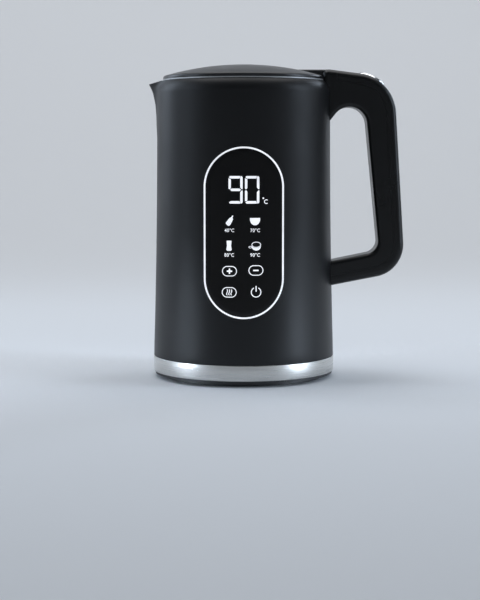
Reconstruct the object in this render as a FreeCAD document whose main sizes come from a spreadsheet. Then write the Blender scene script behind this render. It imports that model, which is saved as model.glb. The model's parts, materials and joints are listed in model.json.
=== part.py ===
import FreeCAD, Part, Sketcher
import math
import os

V = FreeCAD.Vector

# Driving dimensions in millimetres (angles in degrees). The jug's axis is Z, the foot stands on Z = 0,
# the beak points to -X, the handle to +X and the touch panel to -Y.
SIZES = {
    # outer shell
    "body_top_radius": 69.0, "body_flare": 3.5, "body_wall": 2.4, "body_height": 235.6,
    "shoulder_drop": 9.6, "shoulder_inset": 4.4, "rim_width": 2.6, "seat_depth": 7.6, "fit_gap": 0.1,
    # trim ring, foot and base cover
    "trim_height": 12.0, "trim_wall": 1.1, "skirt_wall": 2.2, "foot_height": 3.0, "foot_radius": 64.0,
    "foot_width": 6.0, "cover_plate": 2.0, "boss_width": 9.0, "boss_height": 13.0, "boss_depth": 8.0,
    # beak
    "beak_reach": 7.8, "beak_drop": 31.0, "beak_sink": 1.2, "beak_nose": 7.0, "beak_half_angle": 52.0,
    "beak_slope": 0.21, "channel_half_width": 15.0,
    # pot, collar and filter
    "pot_gap": 1.0, "pot_wall": 0.8, "pot_corner": 10.0, "pot_flange": 4.5, "pot_seal_height": 1.2,
    "collar_height": 21.8, "collar_wall": 3.0, "collar_flange": 2.4, "duct_angle": 29.0,
    "duct_wall_angle": 6.0, "duct_sill": 4.8, "duct_lintel": 4.0, "filter_gap": 0.3, "filter_wall": 1.8,
    "filter_angle": 36.0, "filter_edge": 2.6, "mesh_wall": 0.5, "mesh_bar": 0.9,
    # heater and sensor
    "plate_radius": 48.0, "plate_height": 3.0, "plate_lift": 24.0, "element_radius": 38.0,
    "element_width": 8.0, "element_height": 6.5, "element_gap_angle": 60.0, "terminal_radius": 2.0,
    "post_radius": 2.2, "post_circle": 45.5, "sensor_offset": 22.0, "sensor_radius": 2.5,
    "sensor_reach": 7.0, "sensor_tail": 6.0, "sensor_seal_wall": 1.4, "sensor_lip": 1.6,
    "cutout_radius": 8.0, "cutout_height": 4.5, "cutout_offset": 16.0,
    # connector
    "socket_radius": 17.0, "socket_depth": 12.0, "socket_setback": 2.0, "socket_wall": 3.0,
    "socket_flange": 5.0, "socket_flange_height": 2.5, "contact_pin_radius": 2.2,
    "contact_shank_radius": 3.0, "contact_head_radius": 4.5, "contact_head_height": 1.5,
    "contact_ring_radius": 8.3, "contact_ring_wall": 0.8, "contact_inset": 3.0,
    # boards and wiring
    "board_width": 52.0, "board_depth": 22.0, "board_wall": 1.6, "board_lift": 4.0, "board_offset": 43.0,
    "standoff_radius": 2.4, "standoff_inset": 4.0, "relay_length": 19.0, "relay_width": 12.0,
    "relay_height": 9.0, "capacitor_radius": 4.0, "capacitor_height": 8.0, "lead_radius": 1.1,
    "lead_pitch": 7.0, "lead_start": 10.5, "lead_end": 37.0, "lead_rise": 5.5, "lead_bend": 4.0,
    "control_gap": 0.8, "control_wall": 1.2, "control_width": 36.0, "control_end": 9.0,
    "ribbon_width": 14.0, "ribbon_wall": 1.0, "ribbon_bend": 4.0, "ribbon_landing": 6.0,
    # touch panel
    "panel_bottom": 53.1, "panel_height": 130.8, "panel_half_width": 30.7, "panel_wall": 2.0,
    "panel_proud": 0.2, "ring_width": 1.3, "ring_proud": 0.35, "light_box_angle": 27.0,
    # lid
    "lid_gap": 0.4, "lid_trim_height": 0.9, "lid_trim_proud": 0.15, "lid_setback": 0.5, "lid_edge": 2.6,
    "lid_crown": 9.4, "lid_wall": 2.2, "lid_round": 1.2, "plug_gap": 0.8, "plug_wall": 2.0,
    "plug_rise": 3.3, "seal_gap": 0.3, "seal_width": 2.4, "liner_wall": 0.8, "liner_inset": 10.0,
    "lid_screw_inset": 6.2, "lid_boss_radius": 3.6, "lid_screw_length": 7.0,
    # hinge
    "hinge_setback": 2.9, "hinge_rise": 3.6, "barrel_radius": 5.6, "hinge_pin_radius": 2.0,
    "running_gap": 0.05, "hinge_gap": 0.4, "tongue_half_width": 8.5, "tongue_length": 27.5,
    "notch_depth": 8.1, "notch_gap": 0.5, "tooth_reach": 8.0, "tooth_half_width": 2.5,
    "tooth_start": 15.0, "tooth_end": 38.0, "spring_slot": 5.0, "lid_spring_radius": 3.3,
    "lid_spring_wire": 0.45, "lid_spring_pitch": 1.35, "lid_spring_turns": 2.5,
    # handle, seen from the side
    "handle_half_width": 14.0, "handle_wall": 2.5, "cover_depth": 8.0, "cover_start": 6.1,
    "handle_round": 5.0, "grip_round": 3.5, "crown_reach": 53.5, "crown_drop": 2.9, "crown_radius": 33.0,
    "heel_reach": 34.2, "heel_height": 106.1, "heel_radius": 26.0, "arm_bottom": 71.9, "arm_top": 91.4,
    "nook_reach": 29.6, "nook_height": 108.9, "nook_radius": 10.0, "arch_reach": 16.2, "arch_drop": 34.4,
    "arch_radius": 14.0, "root_drop": 40.6, "bulkhead": 12.5, "handle_screw_drop": 17.1,
    "handle_screw_height": 88.0,
    # lid-release button and latch
    "button_angle": 64.35, "button_half_length": 9.3, "button_half_width": 5.0, "button_gap": 0.3,
    "button_travel": 2.5, "button_skirt": 6.0, "flange_width": 1.4, "flange_wall": 1.4, "flange_gap": 0.4,
    "bezel_width": 2.2, "bezel_proud": 0.8, "latch_travel": 1.5, "latch_half_width": 4.0,
    "latch_gap": 0.3, "latch_drop": 12.1, "latch_bar": 2.7, "nose_height": 10.0, "nose_length": 2.5,
    "nose_reach": 6.5, "ramp_depth": 9.7, "ramp_offset": 1.5, "ramp_back": 2.6, "ramp_front": 2.2,
    "latch_tail": 2.2, "tail_drop": 3.7, "latch_spring_radius": 2.3, "latch_spring_wire": 0.4,
    "latch_spring_length": 15.5, "latch_spring_turns": 7.0,
    # screws
    "screw_radius": 1.5, "screw_head_radius": 2.6, "screw_head_height": 2.0, "screw_length": 12.0,
    "screw_gap": 0.1, "screw_recess": 0.3, "small_screw_radius": 1.0, "small_head_radius": 1.8,
    "small_head_height": 1.2, "small_screw_length": 4.0,
}

doc = FreeCAD.newDocument("kettle")


class Size:
    """A size known both as a number and as an expression on the sheet."""

    def __init__(self, number, text):
        self.number, self.text = number, text

    def __add__(self, other):
        return joined(self, "+", other, lambda a, b: a + b)

    def __sub__(self, other):
        return joined(self, "-", other, lambda a, b: a - b)

    def __mul__(self, other):
        return joined(self, "*", other, lambda a, b: a * b)

    def __truediv__(self, other):
        return joined(self, "/", other, lambda a, b: a / b)

    def __radd__(self, other):
        return sized(other) + self

    def __rsub__(self, other):
        return sized(other) - self

    def __rmul__(self, other):
        return sized(other) * self

    def __rtruediv__(self, other):
        return sized(other) / self

    def __neg__(self):
        return sized(0) - self


def sized(value):
    return value if isinstance(value, Size) else Size(float(value), f"({value})")


def joined(left, sign, right, rule):
    left, right = sized(left), sized(right)
    return Size(rule(left.number, right.number), f"({left.text} {sign} {right.text})")


def sine(angle):
    return Size(math.sin(math.radians(angle.number)), f"sin({angle.text})")


def cosine(angle):
    return Size(math.cos(math.radians(angle.number)), f"cos({angle.text})")


def arc_radius(chord, rise):
    """The radius of an arc whose half chord and rise are known."""
    return (chord * chord + rise * rise) / (2 * rise)


class Sheet:
    """The spreadsheet of driving dimensions, one attribute to each alias."""

    def __init__(self, sizes):
        sheet = doc.addObject("Spreadsheet::Sheet", "size")
        for row, (alias, number) in enumerate(sizes.items(), 1):
            sheet.set(f"A{row}", alias)
            sheet.set(f"B{row}", str(number))
            sheet.setAlias(f"B{row}", alias)
            setattr(self, alias, Size(number, f"size.{alias}"))
        doc.recompute()


def bind(item, name, value):
    """Sets a property to a size, by expression, or to a plain value."""
    if isinstance(value, Size):
        item.setExpression(name, value.text)
    else:
        setattr(item, name, value)


def place(item, x=0, y=0, z=0, axis=None, angle=0):
    turn = FreeCAD.Rotation(V(*axis), angle) if axis else FreeCAD.Rotation()
    item.Placement = FreeCAD.Placement(V(sized(x).number, sized(y).number, sized(z).number), turn)
    for name, value in zip("xyz", (x, y, z)):
        if isinstance(value, Size):
            item.setExpression(f"Placement.Base.{name}", value.text)
    return item


def body(label):
    piece = doc.addObject("PartDesign::Body", label)
    piece.Label = label
    return piece


def sketch(piece, role, lift=None):
    """A sketch on one of the piece's own origin planes, lifted along the plane's normal."""
    plane = [item for item in piece.Origin.OriginFeatures if item.Role == role][0]
    drawing = piece.newObject("Sketcher::SketchObject", "drawing")
    drawing.AttachmentSupport = [(plane, "")]
    drawing.MapMode = "FlatFace"
    if lift is not None:
        drawing.setExpression("AttachmentOffset.Base.z", sized(lift).text)
    return drawing


def pin(rules, bound, geometry, end, x, y):
    """Holds a point of a sketch at (x, y) from the sketch's origin."""
    for kind, axis, value in (("DistanceX", -2, sized(x)), ("DistanceY", -1, sized(y))):
        if value.text == "(0)":
            rules.append(Sketcher.Constraint("PointOnObject", geometry, end, axis))
        else:
            bound.append((len(rules), value))
            rules.append(Sketcher.Constraint(kind, -1, 1, geometry, end, value.number))


def settle(drawing, rules, bound):
    first = drawing.ConstraintCount
    drawing.addConstraint(rules)
    for index, value in bound:
        drawing.setExpression(f"Constraints[{first + index}]", value.text)


def circle(drawing, x, y, radius):
    index = drawing.addGeometry(Part.Circle(V(sized(x).number, sized(y).number), V(0, 0, 1), radius.number))
    rules, bound = [], []
    pin(rules, bound, index, 3, x, y)
    bound.append((len(rules), radius))
    rules.append(Sketcher.Constraint("Radius", index, radius.number))
    settle(drawing, rules, bound)
    return drawing


class Station:
    """A corner of an outline: a point, or a circle that the outline goes round, left turns positive.
    With a bow, the run that leaves the point is an arc of that radius, its centre on the left if positive."""

    def __init__(self, x, y, turn=None, bow=None):
        self.x, self.y, self.turn, self.bow = x, y, turn, bow
        self.at = V(sized(x).number, sized(y).number)
        self.radius = sized(turn).number if turn is not None else 0.0


def run_ends(start, end):
    """Both ends of the straight run that touches two stations."""
    along = end.at - start.at
    lean = math.asin((end.radius - start.radius) / along.Length)
    heading = math.atan2(along.y, along.x) - lean
    left = V(-math.sin(heading), math.cos(heading))
    return start.at - left * start.radius, end.at - left * end.radius


def arc_through(start, end, radius):
    """The short arc between two points, as drawn counter-clockwise."""
    chord = end - start
    left = V(-chord.y, chord.x) / chord.Length
    depth = math.sqrt(radius * radius - chord.Length ** 2 / 4)
    centre = (start + end) / 2 + left * math.copysign(depth, radius)
    first, last = (start, end) if radius > 0 else (end, start)
    return arc_about(centre, abs(radius), first, last)


def arc_about(centre, radius, first, last):
    angles = [math.atan2(point.y - centre.y, point.x - centre.x) for point in (first, last)]
    if angles[1] < angles[0]:
        angles[1] += 2 * math.pi
    return Part.ArcOfCircle(Part.Circle(centre, V(0, 0, 1), radius), *angles)


def outline(drawing, *stations, closed=True):
    """Draws straight and bowed runs from station to station and binds them to the sheet."""
    stations = [item if isinstance(item, Station) else Station(*item) for item in stations]
    pairs = list(zip(stations, stations[1:] + stations[:1]))[:None if closed else -1]
    rules, bound, runs = [], [], []
    for start, end in pairs:
        if start.bow is None:
            ends = run_ends(start, end)
            runs.append((drawing.addGeometry(Part.LineSegment(*ends)), 1, 2, *ends))
        else:
            radius = start.bow.number
            index = drawing.addGeometry(arc_through(start.at, end.at, radius))
            runs.append((index, *((1, 2) if radius > 0 else (2, 1)), start.at, end.at))
            size = start.bow if radius > 0 else -start.bow
            bound.append((len(rules), size))
            rules.append(Sketcher.Constraint("Radius", index, size.number))
    for number, station in enumerate(stations):
        if not closed and number in (0, len(stations) - 1):
            index, end = (runs[0][0], runs[0][1]) if number == 0 else (runs[-1][0], runs[-1][2])
            pin(rules, bound, index, end, station.x, station.y)
            continue
        before, after = runs[number - 1], runs[number]
        if not station.radius:
            rules.append(Sketcher.Constraint("Coincident", before[0], before[2], after[0], after[1]))
            pin(rules, bound, after[0], after[1], station.x, station.y)
            continue
        left = station.radius > 0
        ends = (before[4], after[3]) if left else (after[3], before[4])
        index = drawing.addGeometry(arc_about(station.at, abs(station.radius), *ends))
        enter, leave = (1, 2) if left else (2, 1)
        rules.append(Sketcher.Constraint("Tangent", before[0], before[2], index, enter))
        rules.append(Sketcher.Constraint("Tangent", index, leave, after[0], after[1]))
        pin(rules, bound, index, 3, station.x, station.y)
        size = sized(station.turn) if left else -sized(station.turn)
        bound.append((len(rules), size))
        rules.append(Sketcher.Constraint("Radius", index, size.number))
    settle(drawing, rules, bound)
    return drawing


def box_outline(drawing, left, right, bottom, top):
    return outline(drawing, (left, bottom), (right, bottom), (right, top), (left, top))


def feature(piece, kind, profile, **settings):
    item = piece.newObject(f"PartDesign::{kind}", kind)
    item.Profile = profile
    for name, value in settings.items():
        bind(item, name, value)
    return item


def revolve(piece, profile, angle=None, cut=False):
    """A full turn about Z, or a sector centred on the sketch."""
    kind = "Groove" if cut else "Revolution"
    sector = {"Angle": 360.0} if angle is None else {"Angle": angle, "Midplane": True}
    return feature(piece, kind, profile, ReferenceAxis=(profile, ["V_Axis"]), **sector)


def pad(piece, profile, length, both=False, back=False, cut=False):
    side = "Symmetric" if both else "One side"
    return feature(piece, "Pocket" if cut else "Pad", profile, SideType=side, Length=length, Reversed=back)


def pocket(piece, profile, length, both=False, back=False):
    return pad(piece, profile, length, both, back, cut=True)


def fillet(piece, radius, chosen):
    """Rounds those edges of the piece that the test picks."""
    doc.recompute()
    base = piece.Tip
    names = [f"Edge{n}" for n, edge in enumerate(base.Shape.Edges, 1) if chosen(edge)]
    item = piece.newObject("PartDesign::Fillet", "Fillet")
    item.Base = (base, names)
    bind(item, "Radius", radius)
    return item


def primitive(kind, label, **settings):
    item = doc.addObject(f"Part::{kind}", label)
    item.Label = label
    for name, value in settings.items():
        bind(item, name, value)
    return item


def group(label, *pieces):
    """Several like solids kept as one piece."""
    item = primitive("Compound", label)
    item.Links = list(pieces)
    return item


def screw(x, y, z, axis=None, angle=0, small=False, length=None):
    """A pan-head screw whose head starts at (x, y, z) and whose shank follows it."""
    head_radius = s.small_head_radius if small else s.screw_head_radius
    head_height = s.small_head_height if small else s.screw_head_height
    radius = s.small_screw_radius if small else s.screw_radius
    length = length or (s.small_screw_length if small else s.screw_length)
    item = body("screw")
    outline(profile := sketch(item, "XZ_Plane"), (0, 0), (head_radius, 0), (head_radius, head_height),
            (radius, head_height), (radius, head_height + length), (0, head_height + length))
    revolve(item, profile)
    return place(item, x, y, z, axis, angle)


def polar(radius, degrees):
    turn = math.radians(degrees)
    return radius * round(math.cos(turn), 6), radius * round(math.sin(turn), 6)


s = Sheet(SIZES)

# heights
plate_top = s.foot_height + s.cover_plate
skirt_bottom = plate_top + s.trim_wall + s.fit_gap
side_bottom = plate_top + s.trim_height + s.fit_gap
shoulder = s.body_height - s.shoulder_drop
ledge = s.body_height - s.seat_depth
collar_bottom = ledge - s.collar_height + s.pot_seal_height
pot_top = collar_bottom - s.pot_seal_height
heater_bottom = plate_top + s.plate_lift
pot_bottom = heater_bottom + s.plate_height
duct_bottom = collar_bottom + s.duct_sill
duct_top = ledge - s.duct_lintel
socket_top = s.socket_setback + s.socket_depth
board_top = plate_top + s.board_lift + s.board_wall
# radii
bottom_radius = s.body_top_radius + s.body_flare
skirt_radius = bottom_radius - s.trim_wall - s.fit_gap
rim_radius = s.body_top_radius - s.shoulder_inset
mouth_radius = rim_radius - s.rim_width
lid_radius = rim_radius - s.lid_setback
inner_radius = s.body_top_radius - s.body_wall
pot_radius = mouth_radius - s.pot_gap
collar_radius = mouth_radius - s.collar_wall
screw_circle = s.foot_radius - s.foot_width / 2
barrel_wall = s.socket_radius + s.socket_wall
# hinge and handle centres, seen from the side
hinge_x, hinge_z = rim_radius + s.hinge_setback, s.body_height + s.hinge_rise
root_x = hinge_x - s.barrel_radius
crown_x = hinge_x + s.crown_reach - s.crown_radius
crown_z = hinge_z + s.barrel_radius - s.crown_drop - s.crown_radius
heel_x, nook_x = hinge_x + s.heel_reach, hinge_x + s.nook_reach
arch_x, arch_z = hinge_x + s.arch_reach, s.body_height - s.arch_drop
root_z = s.body_height - s.root_drop
bulkhead_x = hinge_x + s.bulkhead
TURNS = (90, 210, 330)


def side_radius(part):
    """The shell's radius at a share of its height, flaring towards the foot."""
    return s.body_top_radius + s.body_flare * round((1 - part) ** 2, 6)


def side_points(grow, sign=1, steps=4):
    """The shell's outer side from the trim ring to the shoulder, moved out by a distance."""
    parts = [step / steps for step in range(steps + 1)]
    return [(sign * (side_radius(part) + grow), side_bottom + (shoulder - side_bottom) * part)
            for part in parts]


def shoulder_points(grow):
    """The side with the rounded shoulder above it, up to the rim."""
    *side, (radius, height) = side_points(grow)
    return [*side, Station(radius, height, bow=arc_radius(s.shoulder_drop, s.shoulder_inset)),
            (rim_radius + grow, s.body_height)]


def stadium(drawing, inset):
    """The touch panel's upright outline, drawn in by a distance."""
    turn = s.panel_half_width - inset
    return outline(drawing, (0, s.panel_bottom + s.panel_height - s.panel_half_width, turn),
                   (0, s.panel_bottom + s.panel_half_width, turn))


def beak_section(piece, step, steps, thin, half_width=None):
    """One level section of the beak, its nose on a curve that swells towards the rim."""
    part = step / steps
    swell = (s.beak_reach + s.beak_sink) * part ** 2 - s.beak_sink
    nose = -(s.body_top_radius + swell - s.beak_nose)
    turn = s.beak_nose - thin
    slant, lean = sine(s.beak_half_angle) / cosine(s.beak_half_angle), cosine(s.beak_half_angle)
    drawing = sketch(piece, "XY_Plane", s.body_height - s.beak_drop * (1 - part))
    if half_width is None:
        back, width = nose + 2 * s.beak_nose, 2 * s.beak_nose * slant + turn / lean
        return outline(drawing, (back, width), (nose, 0, turn), (back, -width))
    back, knee = s.beak_nose - collar_radius, nose + (half_width - turn / lean) / slant
    return outline(drawing, (back, half_width), (knee, half_width), (nose, 0, turn), (knee, -half_width),
                   (back, -half_width))


def beak(piece, kind, thin, half_width=None, steps=4):
    sections = [beak_section(piece, step, steps, thin, half_width) for step in range(steps + 1)]
    item = feature(piece, kind, sections[0])
    item.Sections = sections[1:]
    return item


def outer_shell():
    piece = body("outer_shell")
    skirt_inner, top = skirt_radius - s.skirt_wall, s.body_height + s.rim_width
    outline(profile := sketch(piece, "XZ_Plane"), *shoulder_points(0), (0, s.body_height), (0, skirt_bottom),
            (skirt_radius, skirt_bottom), (skirt_radius, side_bottom))
    revolve(piece, profile)
    beak(piece, "AdditiveLoft", 0)
    hollow = outline(sketch(piece, "XZ_Plane"), (0, skirt_bottom), (skirt_inner, skirt_bottom),
                     (inner_radius, ledge), (mouth_radius, ledge), (mouth_radius, top), (0, top))
    revolve(piece, hollow, cut=True)
    beak(piece, "SubtractiveLoft", s.body_wall, s.channel_half_width)
    # the beak's rim slopes down to its tip
    tip = s.body_top_radius + 2 * s.beak_reach
    outline(slope := sketch(piece, "XZ_Plane"), (-rim_radius, s.body_height),
            (-rim_radius, s.body_height + s.beak_reach), (-tip, s.body_height + s.beak_reach),
            (-tip, s.body_height - (tip - rim_radius) * s.beak_slope))
    pocket(piece, slope, 4 * s.channel_half_width, both=True)
    pocket(piece, stadium(sketch(piece, "XZ_Plane"), 0 - s.fit_gap), 2 * bottom_radius, back=True)
    hinge_room(piece)
    screw_bosses(piece)
    pocket(piece, handle_screw_holes(piece), 2 * bottom_radius, back=True)
    return piece


def hinge_room(piece):
    """The hollow in which the lid's barrel and its tooth turn."""
    hollow = circle(sketch(piece, "XZ_Plane"), hinge_x, hinge_z, s.tooth_reach + s.hinge_gap)
    return pocket(piece, hollow, 2 * (s.tongue_half_width + s.hinge_gap), both=True)


def screw_bosses(piece):
    """Blocks inside the skirt that take the base cover's screws."""
    far, near = skirt_radius - s.skirt_wall + s.fit_gap, screw_circle - s.boss_depth / 2
    for degrees in TURNS:
        out, side = polar(1, degrees), polar(1, degrees + 90)
        half = s.boss_width / 2
        corners = [(r * out[0] + w * side[0], r * out[1] + w * side[1])
                   for r, w in ((near, -half), (far, -half), (far, half), (near, half))]
        pad(piece, outline(sketch(piece, "XY_Plane", plate_top), *corners), s.boss_height)
    holes = sketch(piece, "XY_Plane", plate_top)
    for degrees in TURNS:
        circle(holes, *polar(screw_circle, degrees), s.screw_radius + s.screw_gap)
    pocket(piece, holes, s.screw_length, back=True)


def handle_screw_holes(piece):
    holes = sketch(piece, "YZ_Plane")
    for z in (s.body_height - s.handle_screw_drop, s.handle_screw_height):
        circle(holes, 0, z, s.screw_radius + s.screw_gap)
    return holes


def trim_ring():
    piece = body("trim_ring")
    outer = bottom_radius + s.fit_gap
    inner = bottom_radius - s.trim_wall
    flange = skirt_radius - s.skirt_wall + 4 * s.fit_gap
    outline(profile := sketch(piece, "XZ_Plane"), (flange, plate_top), (outer, plate_top),
            (outer, plate_top + s.trim_height), (inner, plate_top + s.trim_height),
            (inner, plate_top + s.trim_wall), (flange, plate_top + s.trim_wall))
    revolve(piece, profile)
    return piece


def base_cover():
    piece = body("base_cover")
    hole, edge = barrel_wall + s.fit_gap, bottom_radius - s.trim_wall
    outline(profile := sketch(piece, "XZ_Plane"), (hole, s.foot_height), (s.foot_radius - s.foot_width,
            s.foot_height), (s.foot_radius - s.foot_width, 0), (s.foot_radius, 0),
            (s.foot_radius, s.foot_height), (edge, s.foot_height), (edge, plate_top), (hole, plate_top))
    revolve(piece, profile)
    posts = sketch(piece, "XY_Plane", s.foot_height + s.cover_plate / 2)
    for degrees in TURNS:
        circle(posts, *polar(s.post_circle, degrees), s.post_radius)
    pad(piece, posts, s.plate_lift + s.cover_plate / 2)
    standoffs = sketch(piece, "XY_Plane", s.foot_height + s.cover_plate / 2)
    for x, y in board_corners():
        circle(standoffs, x, y, s.standoff_radius)
    pad(piece, standoffs, s.board_lift + s.cover_plate / 2)
    heads, shanks = sketch(piece, "XY_Plane"), sketch(piece, "XY_Plane")
    for degrees in TURNS:
        circle(heads, *polar(screw_circle, degrees), s.screw_head_radius + s.screw_gap)
        circle(shanks, *polar(screw_circle, degrees), s.screw_radius + s.screw_gap)
    pocket(piece, heads, s.screw_head_height + s.screw_recess, back=True)
    pocket(piece, shanks, plate_top, back=True)
    pilots = sketch(piece, "XY_Plane", plate_top)
    for x, y in board_corners():
        circle(pilots, x, y, s.small_screw_radius + s.fit_gap)
    pocket(piece, pilots, s.board_lift, back=True)
    return piece


def board_corners():
    across, deep = s.board_width / 2 - s.standoff_inset, s.board_depth / 2 - s.standoff_inset
    return [(side * across, end * deep - s.board_offset) for side in (-1, 1) for end in (-1, 1)]


def base_screws():
    return group("base_screws", *[screw(*polar(screw_circle, degrees), s.screw_recess) for degrees in TURNS])


def inner_pot():
    piece = body("inner_pot")
    bend, bore = pot_radius - s.pot_corner, pot_radius - s.pot_wall
    outline(profile := sketch(piece, "XZ_Plane"), (0, pot_bottom),
            (bend, pot_bottom + s.pot_corner, s.pot_corner), (pot_radius, pot_top - s.pot_wall),
            (pot_radius + s.pot_flange, pot_top - s.pot_wall), (pot_radius + s.pot_flange, pot_top),
            (bore, pot_top), (bend, pot_bottom + s.pot_corner, s.pot_wall - s.pot_corner),
            (0, pot_bottom + s.pot_wall))
    revolve(piece, profile)
    sensor_hole(piece)
    return piece


def sensor_hole(piece):
    hole = circle(sketch(piece, "XY_Plane", heater_bottom - s.fit_gap), -s.sensor_offset, 0,
                  s.sensor_radius + s.sensor_seal_wall)
    pocket(piece, hole, s.plate_height + 3 * s.pot_wall, back=True)


def pot_seal():
    piece = body("pot_seal")
    box_outline(profile := sketch(piece, "XZ_Plane"), pot_radius, pot_radius + s.pot_flange,
                pot_top, collar_bottom)
    revolve(piece, profile)
    return piece


def top_collar():
    """The ring under the rim, with the lid seal's seat on top and the spout duct on the beak's side."""
    piece = body("top_collar")
    outer, wall = inner_radius - 3 * s.fit_gap, collar_radius + s.collar_wall
    outline(profile := sketch(piece, "XZ_Plane"), (collar_radius, collar_bottom), (outer, collar_bottom),
            (outer, collar_bottom + s.collar_flange), (wall, collar_bottom + s.collar_flange),
            (wall, ledge - s.collar_flange), (outer, ledge - s.collar_flange), (outer, ledge),
            (collar_radius, ledge))
    revolve(piece, profile)
    block = box_outline(sketch(piece, "XZ_Plane"), -outer, -(collar_radius + s.collar_wall / 2),
                        collar_bottom + s.collar_flange / 2, ledge)
    revolve(piece, block, s.duct_angle + 2 * s.duct_wall_angle)
    window = box_outline(sketch(piece, "XZ_Plane"), -(outer + s.collar_wall),
                         -(collar_radius - s.collar_wall), duct_bottom, duct_top)
    revolve(piece, window, s.duct_angle, cut=True)
    riser = box_outline(sketch(piece, "XZ_Plane"), -(outer + s.collar_wall), -wall, duct_bottom,
                        ledge + s.collar_wall)
    revolve(piece, riser, s.duct_angle, cut=True)
    return piece


def filter_frame():
    piece = body("filter_frame")
    outer = collar_radius - s.filter_gap
    low, high = duct_bottom - s.filter_edge, duct_top + s.filter_edge / 2
    box_outline(profile := sketch(piece, "XZ_Plane"), -outer, -(outer - s.filter_wall), low, high)
    revolve(piece, profile, s.filter_angle)
    window = box_outline(sketch(piece, "XZ_Plane"), -(outer + s.filter_wall), -(outer - 2 * s.filter_wall),
                         low + s.filter_edge, high - s.filter_edge)
    revolve(piece, window, s.filter_angle - 2 * s.duct_wall_angle + 2, cut=True)
    return piece


def filter_mesh():
    """A perforated sheet in the filter's window."""
    piece = body("filter_mesh")
    outer = collar_radius - s.filter_gap - (s.filter_wall - s.mesh_wall) / 2
    low = duct_bottom
    high = duct_top - s.filter_edge / 2
    box_outline(profile := sketch(piece, "XZ_Plane"), -outer, -(outer - s.mesh_wall), low, high)
    revolve(piece, profile, s.filter_angle - 2 * s.duct_wall_angle + 2)
    holes, slots = sketch(piece, "YZ_Plane"), 9
    half = s.channel_half_width - 2 * s.mesh_bar
    step = 2 * half / slots
    for slot in range(slots):
        left = step * slot - half
        box_outline(holes, left + s.mesh_bar / 2, left + step - s.mesh_bar / 2,
                    low + s.mesh_bar, high - s.mesh_bar)
    pocket(piece, holes, s.body_top_radius)
    return piece


def heat_plate():
    piece = body("heat_plate")
    pad(piece, circle(sketch(piece, "XY_Plane", heater_bottom), 0, 0, s.plate_radius), s.plate_height)
    sensor_hole(piece)
    return piece


def heating_element():
    """A D-section ring under the heat plate, open towards the boards."""
    piece = body("heating_element")
    half = s.element_width / 2
    outline(profile := sketch(piece, "YZ_Plane"), (s.element_radius + half, heater_bottom),
            (s.element_radius - half, heater_bottom),
            (s.element_radius, heater_bottom - s.element_height + half, half))
    revolve(piece, profile, 360 - s.element_gap_angle)
    return piece


def element_terminals():
    pins = []
    for side in (-1, 1):
        lean = s.element_gap_angle / 2 - 2
        x, y = side * s.element_radius * sine(lean), -s.element_radius * cosine(lean)
        height = heater_bottom - s.element_height - board_top
        pins.append(place(primitive("Cylinder", "terminal", Radius=s.terminal_radius, Height=height),
                          x, y, board_top))
    return group("element_terminals", *pins)


def temperature_sensor():
    piece = body("temperature_sensor")
    tip = pot_bottom + s.pot_wall + s.sensor_reach
    outline(profile := sketch(piece, "XZ_Plane"), (0, heater_bottom - s.sensor_tail),
            (s.sensor_radius, heater_bottom - s.sensor_tail),
            Station(s.sensor_radius, tip - s.sensor_radius, bow=s.sensor_radius), (0, tip))
    revolve(piece, profile)
    return place(piece, -s.sensor_offset)


def sensor_seal():
    piece = body("sensor_seal")
    bore = s.sensor_radius
    outer = bore + s.sensor_seal_wall
    floor = pot_bottom + s.pot_wall
    lip, top = outer + s.sensor_lip, floor + s.pot_wall
    outline(profile := sketch(piece, "XZ_Plane"), (bore, heater_bottom), (outer, heater_bottom),
            (outer, floor), (lip, floor), (lip, top), (bore, top))
    revolve(piece, profile)
    return place(piece, -s.sensor_offset)


def thermal_cutout():
    item = primitive("Cylinder", "thermal_cutout", Radius=s.cutout_radius, Height=s.cutout_height)
    return place(item, s.cutout_offset, s.cutout_offset / 2, heater_bottom - s.cutout_height)


def connector_housing():
    """The round socket under the foot, which turns freely on a power base."""
    piece = body("connector_housing")
    flange, roof = barrel_wall + s.socket_flange, socket_top + s.socket_wall
    bore = s.contact_shank_radius + s.fit_gap
    flange_top = plate_top + s.socket_flange_height
    outline(profile := sketch(piece, "XZ_Plane"), (s.socket_radius, s.socket_setback),
            (barrel_wall, s.socket_setback), (barrel_wall, plate_top), (flange, plate_top),
            (flange, flange_top), (barrel_wall, flange_top), (barrel_wall, roof), (bore, roof), (bore, socket_top),
            (s.socket_radius, socket_top))
    revolve(piece, profile)
    return piece


def contact_pin():
    piece = body("contact_pin")
    roof = socket_top + s.socket_wall
    low, radius, shank = s.socket_setback + s.contact_inset, s.contact_pin_radius, s.contact_shank_radius
    head, top = s.contact_head_radius, roof + s.contact_head_height
    outline(profile := sketch(piece, "XZ_Plane"), (0, low), (radius, low), (radius, socket_top),
            (shank, socket_top), (shank, roof), (head, roof), (head, top), (0, top))
    revolve(piece, profile)
    return piece


def contact_ring():
    piece = body("contact_ring")
    box_outline(profile := sketch(piece, "XZ_Plane"), s.contact_ring_radius - s.contact_ring_wall,
                s.contact_ring_radius, s.socket_setback + s.contact_inset, socket_top)
    revolve(piece, profile)
    return piece


def power_board():
    piece = body("power_board")
    half = s.board_width / 2
    front, back = -s.board_offset - s.board_depth / 2, -s.board_offset + s.board_depth / 2
    plate = box_outline(sketch(piece, "XY_Plane", plate_top + s.board_lift), -half, half, front, back)
    pad(piece, plate, s.board_wall)
    holes = sketch(piece, "XY_Plane", board_top)
    for x, y in board_corners():
        circle(holes, x, y, s.small_screw_radius + s.fit_gap)
    pocket(piece, holes, 2 * s.board_wall)
    return piece


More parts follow.
